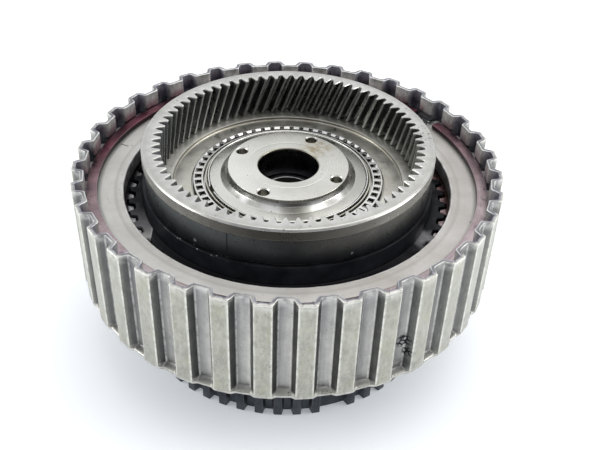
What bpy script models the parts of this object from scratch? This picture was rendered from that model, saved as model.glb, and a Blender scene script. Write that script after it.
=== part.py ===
"""Planetary gear set of an automatic gearbox: clutch drum, ring gears, carrier, planets and sun.

+Z is the turning axis, and the set stands on its lower toothed hub at z = 0.
All lengths below are millimetres and all angles are degrees; MM and radians() convert them.
"""

from math import acos, cos, pi, radians, sin, tan

import bmesh
import bpy
from mathutils import Matrix

MM = 0.001
SEGMENTS = 48
HIDDEN_SEGMENTS = 28
SMALL_SEGMENTS = 20
PIN_SEGMENTS = 12

# Driving dimensions
GAP = 0.3
DRUM_RADIUS = 85.0
DRUM_TOP = 80.0
DRUM_BOTTOM = 33.5
DRUM_LANDS = 36
DRUM_PHASE = 5.2
SHEET = 1.5
VALLEY_DEPTH = 3.4
LAND_HALF = 2.12
FLANK_WIDTH = 1.1

RING_RADIUS = 57.6
RING_TOP = 89.5
RING_BOTTOM = 66.3
RING_TEETH = 73
RING_PHASE = -176.8
RING_PITCH_RADIUS = 51.8
RING_HELIX = -20.7

SPLINES = 50
SPLINE_PHASE = 1.3

LOWER_TEETH = 52
LOWER_TIP_RADIUS = 63.2
LOWER_PHASE = -1.66
LOWER_PLAIN_TOOTH = -70.9

MODULE = 1.8
HELIX = 20.4
PRESSURE = 21.0
REAR_RING_TEETH = 56
SUN_TEETH = 28
PLANET_TEETH = 14
PLANETS = 4
PLANET_START = 19.0
GEAR_BOTTOM = 40.9
GEAR_TOP = 58.3

HUB_RADIUS = 24.35
HUB_BORE = 12.1
HUB_TOP = 77.7
HUB_HOLE_CIRCLE = 21.25
HUB_HOLE_RADIUS = 2.3
HUB_HOLE_DEPTH = 9.0
HUB_HOLE_PHASE = 64.0

ROLLERS = 55
PISTON_TRAVEL = 1.5

PLANET_PITCH = MODULE * PLANET_TEETH / 2
SUN_PITCH = MODULE * SUN_TEETH / 2
REAR_RING_PITCH = MODULE * REAR_RING_TEETH / 2
CENTRE_DISTANCE = PLANET_PITCH + SUN_PITCH
TOOTH_TOP = 0.86 * MODULE
TOOTH_FOOT = 1.2 * MODULE

# name: colour, roughness, metallic
MATERIALS = {
    "drum_steel": ((0.46, 0.45, 0.42), 0.38, 1.0),
    "dark_steel": ((0.055, 0.06, 0.065), 0.45, 1.0),
    "ring_steel": ((0.36, 0.355, 0.33), 0.35, 1.0),
    "bright_steel": ((0.62, 0.615, 0.59), 0.28, 1.0),
    "plate_steel": ((0.5, 0.49, 0.46), 0.36, 1.0),
    "tempered_steel": ((0.3, 0.17, 0.23), 0.34, 1.0),
    "friction_lining": ((0.11, 0.07, 0.045), 0.85, 0.0),
    "gear_steel": ((0.3, 0.3, 0.29), 0.35, 1.0),
    "bearing_steel": ((0.66, 0.65, 0.62), 0.22, 1.0),
    "bronze": ((0.5, 0.34, 0.16), 0.35, 1.0),
    "aluminium": ((0.55, 0.55, 0.54), 0.45, 1.0),
    "rubber": ((0.02, 0.02, 0.02), 0.7, 0.0),
    "spring_steel": ((0.22, 0.22, 0.23), 0.35, 1.0),
}


def clear_scene():
    for item in list(bpy.data.objects):
        bpy.data.objects.remove(item, do_unlink=True)


def new_collection(name):
    collection = bpy.data.collections.new(name)
    bpy.context.scene.collection.children.link(collection)
    return collection


def new_material(name):
    colour, roughness, metallic = MATERIALS[name]
    material = bpy.data.materials.new(name)
    material.use_nodes = True
    shader = material.node_tree.nodes["Principled BSDF"]
    shader.inputs["Base Color"].default_value = (*colour, 1.0)
    shader.inputs["Roughness"].default_value = roughness
    shader.inputs["Metallic"].default_value = metallic
    material.diffuse_color = (*colour, 1.0)
    return material


clear_scene()
PARTS = new_collection("planetary_gear_set")
CUTTERS = new_collection("cutters")
LOOK = {name: new_material(name) for name in MATERIALS}


# --- building blocks ---------------------------------------------------------


def add_object(name, mesh, material, parent):
    piece = bpy.data.objects.new(name, mesh)
    mesh.materials.append(LOOK[material])
    PARTS.objects.link(piece)
    piece.parent = parent
    return piece


def add_empty(name, place=(0.0, 0.0, 0.0), turn=0.0):
    empty = bpy.data.objects.new(name, None)
    empty.location = [value * MM for value in place]
    empty.rotation_euler[2] = radians(turn)
    PARTS.objects.link(empty)
    return empty


def turned(name, profile, material, parent, segments=SEGMENTS):
    """Turn a closed (radius, height) outline that runs down its outer side and up its inner one."""
    mesh = bpy.data.meshes.new(name)
    corners = [(radius * MM, 0.0, height * MM) for radius, height in profile]
    count = len(corners)
    mesh.from_pydata(corners, [(i, (i + 1) % count) for i in range(count)], [])
    piece = add_object(name, mesh, material, parent)
    screw = piece.modifiers.new("turn", "SCREW")
    screw.steps = segments
    screw.render_steps = segments
    screw.use_merge_vertices = True
    screw.merge_threshold = 0.00001
    screw.use_smooth_shade = True
    return piece


def tube(name, outer, inner, bottom, top, material, parent, segments=SEGMENTS):
    outline = [(outer, top), (outer, bottom), (inner, bottom), (inner, top)]
    return turned(name, outline, material, parent, segments)


def circle(radius, count):
    """An outline as (radius, angle) points."""
    return [(radius, 360.0 * i / count) for i in range(count)]


def repeated(pattern, count, phase, skip=()):
    """Repeat a pattern of (radius, angle from the tooth's centre) round the axis.

    A tooth whose centre is in skip is left plain, at the pattern's smallest radius."""
    outline = []
    lowest = min(radius for radius, angle in pattern)
    for i in range(count):
        centre = phase + 360.0 * i / count
        for radius, angle in pattern:
            outline.append((lowest if i in skip else radius, centre + angle))
    return outline


def turned_by(outline, angle):
    return [(radius, place + angle) for radius, place in outline]


def loop_edges(work, level):
    edges = []
    for i, vert in enumerate(level):
        after = level[(i + 1) % len(level)]
        edges.append(work.edges.get((vert, after)) or work.edges.new((vert, after)))
    return edges


def fill_between(work, level, other):
    """Fill the flat ring between two closed loops at one height."""
    edges = loop_edges(work, level) + loop_edges(work, other)
    bmesh.ops.triangle_fill(work, use_beauty=True, edges=edges)


def lofted(name, outer_rows, inner_rows, material, parent):
    """A ring between two skins, each a list of (height, outline) rows from top to bottom.

    Rows of unlike outlines at one height are joined by a flat face."""
    work = bmesh.new()
    skins = []
    for rows in (outer_rows, inner_rows):
        levels = []
        for height, outline in rows:
            level = []
            for radius, angle in outline:
                x = radius * cos(radians(angle)) * MM
                y = radius * sin(radians(angle)) * MM
                level.append(work.verts.new((x, y, height * MM)))
            levels.append(level)
        skins.append(levels)
    for levels in skins:
        for upper, lower in zip(levels, levels[1:]):
            count = len(upper)
            if count != len(lower):
                fill_between(work, upper, lower)
                continue
            for i in range(count):
                j = (i + 1) % count
                work.faces.new((upper[i], lower[i], lower[j], upper[j]))
    for end in (0, -1):
        fill_between(work, skins[0][end], skins[1][end])
    bmesh.ops.recalc_face_normals(work, faces=work.faces)
    mesh = bpy.data.meshes.new(name)
    work.to_mesh(mesh)
    work.free()
    mesh.shade_smooth()
    mesh.set_sharp_from_angle(angle=radians(30.0))
    return add_object(name, mesh, material, parent)


def add_cutter(name, radius, bottom, top, place, sides=PIN_SEGMENTS):
    """A round cutter standing at (distance from the axis, angle)."""
    distance, angle = place
    spot = (distance * cos(radians(angle)), distance * sin(radians(angle)), (bottom + top) / 2)
    work = bmesh.new()
    bmesh.ops.create_cone(
        work,
        cap_ends=True,
        segments=sides,
        radius1=radius * MM,
        radius2=radius * MM,
        depth=(top - bottom) * MM,
        matrix=Matrix.Translation([value * MM for value in spot]),
    )
    return finish_cutter(name, work)


def add_block(name, size, place, angle):
    """A block of (radial, tangential, height) size, centred at (distance, height) along angle."""
    work = bmesh.new()
    distance, height = place
    shift = Matrix.Translation((distance * MM, 0.0, height * MM))
    stretch = Matrix.Diagonal((size[0] * MM, size[1] * MM, size[2] * MM, 1.0))
    bmesh.ops.create_cube(work, size=1.0, matrix=Matrix.Rotation(radians(angle), 4, "Z") @ shift @ stretch)
    return finish_cutter(name, work)


def finish_cutter(name, work):
    mesh = bpy.data.meshes.new(name)
    work.to_mesh(mesh)
    work.free()
    cutter = bpy.data.objects.new(name, mesh)
    CUTTERS.objects.link(cutter)
    cutter.hide_render = True
    cutter.display_type = "WIRE"
    return cutter


def boolean(piece, tool, operation="DIFFERENCE"):
    change = piece.modifiers.new(tool.name, "BOOLEAN")
    change.object = tool
    change.operation = operation
    change.solver = "EXACT"


# --- gear teeth --------------------------------------------------------------


def involute(angle):
    return tan(angle) - angle


def tooth_half_angle(radius, pitch_radius, teeth, share):
    """Half the angle of an external tooth at a radius; share is its part of the pitch."""
    base = pitch_radius * cos(radians(PRESSURE))
    at_pitch = share * 180.0 / teeth
    if radius < base:
        radius = base
    change = involute(radians(PRESSURE)) - involute(acos(base / radius))
    return at_pitch + change * 180.0 / pi


def gear_outline(teeth, pitch_radius, root, tip, phase, inside=False, share=0.43):
    """Four points a tooth: root, tip, tip, root. The phase is the centre of one tooth.

    An inside tooth fills what an outside tooth of the rest of the pitch would leave."""
    if inside:
        at_root = 180.0 / teeth - tooth_half_angle(root, pitch_radius, teeth, 1.0 - share)
        at_tip = 180.0 / teeth - tooth_half_angle(tip, pitch_radius, teeth, 1.0 - share)
    else:
        at_root = tooth_half_angle(root, pitch_radius, teeth, share)
        at_tip = tooth_half_angle(tip, pitch_radius, teeth, share)
    pattern = [(root, -at_root), (tip, -at_tip), (tip, at_tip), (root, at_root)]
    return repeated(pattern, teeth, phase)


def helical_rows(outline, bottom, top, twist, strips):
    """Rows from top to bottom; twist is in degrees a millimetre, from nothing at the bottom."""
    rows = []
    for i in range(strips + 1):
        height = top - (top - bottom) * i / strips
        rows.append((height, turned_by(outline, twist * (height - bottom))))
    return rows


def twist_rate(helix, pitch_radius):
    return tan(radians(helix)) / pitch_radius * 180.0 / pi


# --- drum --------------------------------------------------------------------


def corrugation(land, valley, land_half, valley_half):
    """The drum's wall: in each pitch a land with a flank on each side."""
    pitch = [(valley, -valley_half), (land, -land_half), (land, land_half), (valley, valley_half)]
    return repeated(pitch, DRUM_LANDS, DRUM_PHASE)


def build_drum(parent):
    corner = 1.2
    floor_top = DRUM_BOTTOM + 2.0
    hole = 20.3
    valley = DRUM_RADIUS - VALLEY_DEPTH
    valley_half = LAND_HALF + FLANK_WIDTH
    outside = corrugation(DRUM_RADIUS, valley, LAND_HALF, valley_half)
    outside_foot = corrugation(DRUM_RADIUS, DRUM_RADIUS - 0.7, LAND_HALF, valley_half)
    outside_low = corrugation(DRUM_RADIUS - corner, DRUM_RADIUS - corner - 0.5, LAND_HALF, valley_half)
    inside = corrugation(DRUM_RADIUS - SHEET, valley - SHEET, 1.47, 2.53)
    inside_low = corrugation(DRUM_RADIUS - 3.5, valley - SHEET, 1.47, 2.53)
    outer_rows = [
        (DRUM_TOP, outside),
        (DRUM_BOTTOM + 4.6, outside),
        (DRUM_BOTTOM + corner, outside_foot),
        (DRUM_BOTTOM, outside_low),
    ]
    inner_rows = [
        (DRUM_TOP, inside),
        (floor_top + 3.2, inside),
        (floor_top, inside_low),
        (floor_top, circle(hole, SMALL_SEGMENTS)),
        (DRUM_BOTTOM, circle(hole, SMALL_SEGMENTS)),
    ]
    lofted("outer_drum", outer_rows, inner_rows, "drum_steel", parent)


def build_lower_hub(parent):
    root = LOWER_TIP_RADIUS - 2.8
    inner = 54.0
    top = DRUM_BOTTOM - GAP
    flange = top - 4.0
    plain = round((LOWER_PLAIN_TOOTH - LOWER_PHASE) * LOWER_TEETH / 360.0) % LOWER_TEETH
    pattern = [(root, -2.0), (LOWER_TIP_RADIUS, -1.5), (LOWER_TIP_RADIUS, 1.5), (root, 2.0)]
    teeth = repeated(pattern, LOWER_TEETH, LOWER_PHASE, skip=(plain,))
    outer_rows = [
        (top, circle(66.0, SEGMENTS)),
        (flange, circle(66.0, SEGMENTS)),
        (flange, teeth),
        (0.0, teeth),
    ]
    inner_rows = [(top, circle(inner, SEGMENTS)), (0.0, circle(inner, SEGMENTS))]
    lofted("lower_toothed_hub", outer_rows, inner_rows, "dark_steel", parent)


def build_drum_hub(parent):
    flange_top = DRUM_BOTTOM - GAP
    flange_bottom = flange_top - 4.0
    outline = [
        (20.0, 39.7),
        (20.0, flange_top),
        (28.0, flange_top),
        (28.0, flange_bottom),
        (20.0, flange_bottom),
        (20.0, 22.0),
        (12.3, 22.0),
        (12.3, 39.7),
    ]
    turned("drum_hub", outline, "dark_steel", parent, SMALL_SEGMENTS)
    tube("drum_hub_bush", 12.0, 10.0, 23.0, 39.0, "bronze", parent, SMALL_SEGMENTS)
    tube("sun_lower_washer", 19.5, 12.5, 40.0, 40.6, "bronze", parent, SMALL_SEGMENTS)


def build_rear_ring_gear(parent):
    """Internal teeth for the planets; its outside is the piston's inner cylinder."""
    bottom = DRUM_BOTTOM + 2.0 + GAP
    top = 59.0
    outer = 57.4
    root = REAR_RING_PITCH + TOOTH_FOOT
    outline = gear_outline(
        REAR_RING_TEETH,
        REAR_RING_PITCH,
        root,
        REAR_RING_PITCH - TOOTH_TOP,
        PLANET_START + 180.0 / REAR_RING_TEETH,
        inside=True,
    )
    twist = twist_rate(HELIX, REAR_RING_PITCH)
    relief = circle(root + 0.3, HIDDEN_SEGMENTS)
    inner_rows = helical_rows(outline, GEAR_BOTTOM, top, twist, 1)
    inner_rows += [(GEAR_BOTTOM, relief), (bottom, relief)]
    round_outside = circle(outer, HIDDEN_SEGMENTS)
    groove = circle(outer - 0.9, HIDDEN_SEGMENTS)
    outer_rows = [
        (top, round_outside),
        (51.1, round_outside),
        (51.1, groove),
        (49.6, groove),
        (49.6, round_outside),
        (bottom, round_outside),
    ]
    lofted("rear_ring_gear", outer_rows, inner_rows, "gear_steel", parent)


def build_piston_side(drum, piston):
    base = DRUM_BOTTOM + 2.0 + GAP
    wall = 79.2
    cylinder_outline = [
        (wall, 50.0),
        (wall, base + 3.8),
        (wall - 2.6, base),
        (57.8, base),
        (57.8, base + 1.5),
        (77.7, base + 1.5),
        (77.7, 50.0),
    ]
    turned("piston_cylinder", cylinder_outline, "aluminium", drum, HIDDEN_SEGMENTS)
    push = 55.5 - PISTON_TRAVEL
    piston_outline = [
        (76.0, push),
        (76.0, 41.3),
        (77.4, 41.3),
        (77.4, 37.7),
        (59.8, 37.7),
        (59.8, 39.6),
        (58.0, 39.6),
        (58.0, 42.6),
        (69.5, 42.6),
        (69.5, push),
    ]
    turned("clutch_piston", piston_outline, "aluminium", piston, HIDDEN_SEGMENTS)
    tube("piston_outer_seal", 77.4, 76.3, 41.6, 43.4, "rubber", piston, HIDDEN_SEGMENTS)
    tube("piston_inner_seal", 59.5, 57.8, 37.8, 39.3, "rubber", piston, HIDDEN_SEGMENTS)
    tube("spring_retainer", 66.5, 57.9, 47.9, 49.3, "plate_steel", drum, HIDDEN_SEGMENTS)
    tube("retainer_snap_ring", 60.0, 56.8, 49.7, 50.8, "spring_steel", drum, HIDDEN_SEGMENTS)


def build_return_spring(parent):
    """A wave spring: five waves round the piston."""
    waves = 5
    count = 40
    middle = 45.25
    swing = 1.85
    half = 0.4
    work = bmesh.new()
    sections = []
    for i in range(count):
        angle = 2.0 * pi * i / count
        height = middle + swing * cos(waves * angle)
        section = []
        for radius, level in ((66.0, half), (66.0, -half), (61.0, -half), (61.0, half)):
            place = (radius * cos(angle) * MM, radius * sin(angle) * MM, (height + level) * MM)
            section.append(work.verts.new(place))
        sections.append(section)
    for i, section in enumerate(sections):
        after = sections[(i + 1) % count]
        for k in range(4):
            m = (k + 1) % 4
            work.faces.new((section[k], section[m], after[m], after[k]))
    bmesh.ops.recalc_face_normals(work, faces=work.faces)
    mesh = bpy.data.meshes.new("return_spring")
    work.to_mesh(mesh)
    work.free()
    add_object("return_spring", mesh, "spring_steel", parent)


def build_lugged_plate(name, inner, bottom, top, lugs, parent):
    """A plate whose lugs sit in the drum's lands, with an even arc between two lugs."""
    lug = [(79.7, -2.1), (83.1, -1.1), (83.1, 1.1), (79.7, 2.1)]
    pitch = 360.0 / lugs
    if pitch > 20.0:
        lug += [(79.7, pitch * 0.35), (79.7, pitch * 0.65)]
    outline = repeated(lug, lugs, DRUM_PHASE)
    rows = [(top, outline), (bottom, outline)]
    inner_rows = [(top, circle(inner, SEGMENTS)), (bottom, circle(inner, SEGMENTS))]
    lofted(name, rows, inner_rows, "plate_steel", parent)


def build_friction_plate(name, bottom, top, parent):
    """A plate whose inner teeth sit between the clutch hub's splines."""
    pattern = [(65.0, -2.2), (62.3, -0.9), (62.3, 0.9), (65.0, 2.2)]
    teeth = repeated(pattern, SPLINES, SPLINE_PHASE + 180.0 / SPLINES)
    rows = [(top, circle(76.5, SEGMENTS)), (bottom, circle(76.5, SEGMENTS))]
    lofted(name, rows, [(top, teeth), (bottom, teeth)], "friction_lining", parent)


def open_ring(name, outer, inner, bottom, top, gap_centre, gap, material, parent):
    """A snap ring with a gap, closed by flat ends."""
    steps = 40
    start = gap_centre + gap / 2
    sweep = 360.0 - gap
    profile = [(outer, top), (outer, bottom), (inner, bottom), (inner, top)]
    work = bmesh.new()
    sections = []
    for i in range(steps + 1):
        angle = radians(start + sweep * i / steps)
        section = []
        for radius, height in profile:
            place = (radius * cos(angle) * MM, radius * sin(angle) * MM, height * MM)
            section.append(work.verts.new(place))
        sections.append(section)
    for section, after in zip(sections, sections[1:]):
        for k in range(4):
            m = (k + 1) % 4
            work.faces.new((section[k], section[m], after[m], after[k]))
    work.faces.new(sections[0])
    work.faces.new(sections[-1][::-1])
    bmesh.ops.recalc_face_normals(work, faces=work.faces)
    mesh = bpy.data.meshes.new(name)
    work.to_mesh(mesh)
    work.free()
    return add_object(name, mesh, material, parent)


def build_clutch_pack(drum, carrier):
    """Friction and steel plates by turns, with the backing plate and its snap ring on top."""
    build_lugged_plate("backing_plate", 65.7, 64.6, 70.8, DRUM_LANDS, drum)
    open_ring("clutch_snap_ring", 79.8, 75.8, 71.1, 73.1, 38.0, 9.5, "tempered_steel", drum)
    build_friction_plate("friction_plate_1", 62.3, 64.3, carrier)
    build_lugged_plate("steel_plate_1", 66.0, 60.2, 62.0, 12, drum)
    build_friction_plate("friction_plate_2", 57.9, 59.9, carrier)
    build_lugged_plate("steel_plate_2", 66.0, 55.8, 57.6, 12, drum)


# --- carrier -----------------------------------------------------------------


def build_front_ring_gear(parent):
    root = 53.4
    tip = 50.2
    teeth_bottom = 72.6
    band = RING_TOP - 4.8
    lip = 73.3
    outline = gear_outline(
        RING_TEETH, RING_PITCH_RADIUS, root, tip, RING_PHASE + 180.0 / RING_TEETH, inside=True, share=0.47
    )
    twist = twist_rate(RING_HELIX, RING_PITCH_RADIUS)
    start = turned_by(outline, -twist * (RING_TOP - teeth_bottom))
    relief = circle(root + 0.3, SEGMENTS)
    inner_rows = helical_rows(start, teeth_bottom, RING_TOP, twist, 1)
    inner_rows += [(teeth_bottom, relief), (RING_BOTTOM, relief)]
    rim = circle(RING_RADIUS, SEGMENTS)
    wall = circle(RING_RADIUS - 0.6, SEGMENTS)
    seat = circle(RING_RADIUS - 1.6, SEGMENTS)
    outer_rows = [(RING_TOP, rim), (band, rim), (band, wall), (lip, wall), (lip, seat), (RING_BOTTOM, seat)]
    lofted("front_ring_gear", outer_rows, inner_rows, "ring_steel", parent)


def build_web(parent):
    """The disc that carries the front ring gear, with the thrust bearing's pocket."""
    bottom = 68.0
    outline = [
        (53.4, 72.3),
        (53.4, bottom),
        (32.8, bottom),
        (32.8, 72.9),
        (33.4, 72.9),
        (33.4, 70.0),
        (38.9, 70.0),
        (38.9, 71.1),
        (46.0, 71.1),
        (46.2, 72.3),
    ]
    turned("ring_gear_web", outline, "ring_steel", parent)
    tube("bearing_race", 38.6, 34.1, 70.3, 70.8, "bearing_steel", parent, HIDDEN_SEGMENTS)
    open_ring("web_retaining_ring", 32.5, 31.9, 73.2, 73.9, -138.0, 8.0, "bearing_steel", parent)


def build_carrier_hub(parent):
    """The bright flange with four holes, which drives the ring gear's web."""
    outline = [
        (HUB_RADIUS, HUB_TOP),
        (HUB_RADIUS, 76.7),
        (24.7, 76.2),
        (25.3, 75.3),
        (27.3, 73.75),
        (31.6, 73.6),
        (31.6, 67.7),
        (36.0, 67.7),
        (36.0, 63.9),
        (HUB_BORE, 63.9),
        (HUB_BORE, HUB_TOP),
    ]
    hub = turned("carrier_hub", outline, "bright_steel", parent)
    for i in range(4):
        angle = HUB_HOLE_PHASE + 90.0 * i
        place = (HUB_HOLE_CIRCLE, angle)
        bottom = HUB_TOP - HUB_HOLE_DEPTH
        boolean(hub, add_cutter(f"hub_hole_{i + 1}", HUB_HOLE_RADIUS, bottom, HUB_TOP + 1.0, place))


def build_clutch_hub(parent):
    bottom = 53.5
    step = 63.4
    shoulder = 64.8
    top = 73.0
    pattern = [(61.9, -2.2), (64.4, -1.4), (64.4, 1.4), (61.9, 2.2)]
    splines = repeated(pattern, SPLINES, SPLINE_PHASE)
    neck = circle(58.2, SEGMENTS)
    outer_rows = [(top, neck), (shoulder, neck), (shoulder, splines), (bottom, splines)]
    inner_rows = [
        (top, circle(56.3, SEGMENTS)),
        (step, circle(56.3, SEGMENTS)),
        (step, circle(58.4, SEGMENTS)),
        (bottom, circle(58.4, SEGMENTS)),
    ]
    lofted("clutch_hub", outer_rows, inner_rows, "dark_steel", parent)


def build_planet_carrier(parent):
    plate_bottom = 59.6
    plate_top = 63.6
    end_bottom = 36.6
    end_top = 39.6
    plates = ("gear_steel", parent, HIDDEN_SEGMENTS)
    body = tube("planet_carrier", 48.4, 14.5, plate_bottom, plate_top, *plates)
    end_plate = tube("carrier_end_plate", 48.4, 28.0, end_bottom, end_top, *plates)
    post_bottom = end_top + GAP
    post_top = plate_bottom + 1.0
    for i in range(PLANETS):
        angle = PLANET_START + 360.0 / PLANETS * i
        middle = (post_bottom + post_top) / 2
        post = add_block(f"post_{i + 1}", (14.0, 18.0, post_top - post_bottom), (38.0, middle), angle + 45.0)
        boolean(body, post, "UNION")
        place = (CENTRE_DISTANCE, angle)
        boolean(body, add_cutter(f"upper_pin_hole_{i + 1}", 4.8, plate_bottom - 1, plate_top + 1, place))
        boolean(end_plate, add_cutter(f"lower_pin_hole_{i + 1}", 4.8, end_bottom - 1, end_top + 1, place))
        spot = (CENTRE_DISTANCE * cos(radians(angle)), CENTRE_DISTANCE * sin(radians(angle)), 0.0)
        axis = add_empty(f"planet_axis_{i + 1}", spot, angle)
        axis.parent = parent
        build_pin(i + 1, axis, end_bottom, plate_top)
        build_planet(i + 1, axis)


def build_pin(number, axis, bottom, top):
    """A hollow pin, which brings oil to its planet, and the two washers beside the planet."""
    tube(f"planet_pin_{number}", 4.5, 1.2, bottom, top, "gear_steel", axis, PIN_SEGMENTS)
    tube(f"planet_upper_washer_{number}", 9.5, 4.9, 58.6, 59.3, "bronze", axis, PIN_SEGMENTS)
    tube(f"planet_lower_washer_{number}", 9.5, 4.9, 39.9, 40.6, "bronze", axis, PIN_SEGMENTS)


def build_planet(number, axis):
    outline = gear_outline(
        PLANET_TEETH, PLANET_PITCH, PLANET_PITCH - TOOTH_FOOT, PLANET_PITCH + TOOTH_TOP, 0.0
    )
    rows = helical_rows(outline, GEAR_BOTTOM, GEAR_TOP, twist_rate(HELIX, PLANET_PITCH), 2)
    bore = circle(7.0, PIN_SEGMENTS)
    inner_rows = [(GEAR_TOP, bore), (GEAR_BOTTOM, bore)]
    lofted(f"planet_gear_{number}", rows, inner_rows, "gear_steel", axis)
    tube(f"planet_bush_{number}", 6.4, 5.0, 41.3, 57.9, "bearing_steel", axis, PIN_SEGMENTS)


def build_sun(parent):
    """The sun gear on its hollow shaft, whose end shows in the carrier hub's bore."""
    outline = gear_outline(
        SUN_TEETH, SUN_PITCH, SUN_PITCH - TOOTH_FOOT, SUN_PITCH + TOOTH_TOP, PLANET_START + 180.0 / SUN_TEETH
    )
    rows = helical_rows(outline, GEAR_BOTTOM, GEAR_TOP, -twist_rate(HELIX, SUN_PITCH), 1)
    bore = circle(12.1, SMALL_SEGMENTS)
    lofted("sun_gear", rows, [(GEAR_TOP, bore), (GEAR_BOTTOM, bore)], "gear_steel", parent)
    tube("sun_shaft", 11.8, 9.8, GEAR_BOTTOM, 65.0, "gear_steel", parent, SMALL_SEGMENTS)


def build_thrust_bearing(parent):
    """The cage ring, with a bar for each roller set across it."""
    inner = 34.3
    outer = 38.2
    bottom = 71.1
    top = 72.7
    rim = 0.6
    cage = tube("thrust_bearing", outer, inner, bottom, top - 0.5, "bearing_steel", parent, ROLLERS)
    work = bmesh.new()
    for i in range(ROLLERS):
        turn = Matrix.Rotation(radians(360.0 * i / ROLLERS), 4, "Z")
        shift = Matrix.Translation(((inner + outer) / 2 * MM, 0.0, (top - 0.5) * MM))
        size = Matrix.Diagonal(((outer - inner - 2 * rim) * MM, 1.6 * MM, 1.0 * MM, 1.0))
        bmesh.ops.create_cube(work, size=1.0, matrix=turn @ shift @ size)
    boolean(cage, finish_cutter("rollers", work), "UNION")


def main():
    drum = add_empty("drum")
    piston = add_empty("piston")
    carrier = add_empty("carrier")
    sun = add_empty("sun")
    bearing = add_empty("bearing")
    build_drum(drum)
    build_lower_hub(drum)
    build_drum_hub(drum)
    build_rear_ring_gear(drum)
    build_piston_side(drum, piston)
    build_return_spring(drum)
    build_clutch_pack(drum, carrier)
    build_front_ring_gear(carrier)
    build_web(carrier)
    build_carrier_hub(carrier)
    build_clutch_hub(carrier)
    build_planet_carrier(carrier)
    tube("sun_upper_washer", 20.5, 14.8, 58.6, 59.3, "bronze", carrier, SMALL_SEGMENTS)
    build_sun(sun)
    build_thrust_bearing(bearing)


main()
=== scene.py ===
from math import cos, pi, radians, sin, tan

import bmesh
import bpy
import numpy as np
from mathutils import Matrix, Vector


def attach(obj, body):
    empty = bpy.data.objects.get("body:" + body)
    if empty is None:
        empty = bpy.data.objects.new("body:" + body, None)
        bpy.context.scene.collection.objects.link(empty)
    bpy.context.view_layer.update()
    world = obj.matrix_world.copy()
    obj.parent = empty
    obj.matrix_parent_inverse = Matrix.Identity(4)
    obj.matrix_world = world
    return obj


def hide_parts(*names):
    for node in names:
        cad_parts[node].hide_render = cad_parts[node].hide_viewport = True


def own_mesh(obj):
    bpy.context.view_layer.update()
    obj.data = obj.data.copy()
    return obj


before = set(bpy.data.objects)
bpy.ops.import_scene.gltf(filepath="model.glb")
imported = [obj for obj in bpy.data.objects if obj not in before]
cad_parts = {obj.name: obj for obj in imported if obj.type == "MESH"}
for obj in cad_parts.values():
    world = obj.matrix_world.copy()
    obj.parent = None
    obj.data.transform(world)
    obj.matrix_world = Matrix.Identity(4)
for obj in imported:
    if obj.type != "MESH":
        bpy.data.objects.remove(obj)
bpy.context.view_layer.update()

# Shapes are in millimetres and degrees, until MM and radians() convert them. Materials work in metres.
MM = 0.001
SMOOTH_ANGLE = 32

DRUM_RADIUS = 85
DRUM_TOP = 80
DRUM_BOTTOM = 33.5
DRUM_LANDS = 36
DRUM_PHASE = 5.2
SHEET = 1.5
BEAD = 0.8
GROOVE_TOP = 73.4
GROOVE_BOTTOM = 70.9
VALLEY = DRUM_RADIUS - 3.4

RING_RADIUS = 57.6
RING_TOP = 89.5
RING_BOTTOM = 66.3
RING_TEETH = 73
RING_PHASE = -176.8
RING_PITCH_RADIUS = 51.8
RING_HELIX = -20.7

SPLINES = 50
SPLINE_PHASE = 1.3
LOWER_TEETH = 52
LOWER_PHASE = -1.66
LOWER_PLAIN_TOOTH = -70.9

PLATE_TOP = 70.8
FLOOR_TOP = 71.1

HUB_RADIUS = 24.35
HUB_BORE = 12.1
HUB_TOP = 77.7
HUB_HOLE_CIRCLE = 21.25
HUB_HOLE_RADIUS = 2.3
HUB_HOLE_PHASE = 64

MODULE = 1.8
HELIX = 20.4
PRESSURE = 21
REAR_RING_TEETH = 56
SUN_TEETH = 28
PLANET_TEETH = 14
PLANET_START = 19
GEAR_BOTTOM = 40.9
GEAR_TOP = 58.3
PLANET_PITCH = MODULE * PLANET_TEETH / 2
SUN_PITCH = MODULE * SUN_TEETH / 2
REAR_RING_PITCH = MODULE * REAR_RING_TEETH / 2
CENTRE_DISTANCE = PLANET_PITCH + SUN_PITCH
ADDENDUM = 0.86 * MODULE
DEDENDUM = 1.2 * MODULE

ROLLERS = 55
LAND_HALF = 2.12
EDGE_WIDTH = 0.62


# --- outlines ----------------------------------------------------------------
# An outline is an array of points (x, y) round the axis, with a wear value for each point:
# 1 on a corner that stands proud and rubs bright, 0 elsewhere.


def spot(radius, angle):
    return np.array((radius * cos(radians(angle)), radius * sin(radians(angle))))


def rounded(corners, steps=3):
    """Round a closed polygon. A corner is (x, y, fillet radius, wear)."""
    points = []
    wear = []
    count = len(corners)
    for i, (x, y, fillet, rub) in enumerate(corners):
        here = np.array((x, y))
        before = np.array(corners[i - 1][:2]) - here
        after = np.array(corners[(i + 1) % count][:2]) - here
        reach = min(np.linalg.norm(before), np.linalg.norm(after)) * 0.48
        before = before / np.linalg.norm(before)
        after = after / np.linalg.norm(after)
        half = np.arccos(np.clip(before @ after, -1, 1)) / 2
        if fillet <= 0 or half > radians(89.5):
            points += [here] * (steps + 1)
            wear += [rub] * (steps + 1)
            continue
        cut = min(fillet / tan(half), reach)
        start = here + before * cut
        end = here + after * cut
        for k in range(steps + 1):
            t = k / steps
            points.append((1 - t) ** 2 * start + 2 * t * (1 - t) * here + t * t * end)
            wear.append(rub * (0 if k in (0, steps) else 1))
    return np.array(points), np.array(wear)


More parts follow.
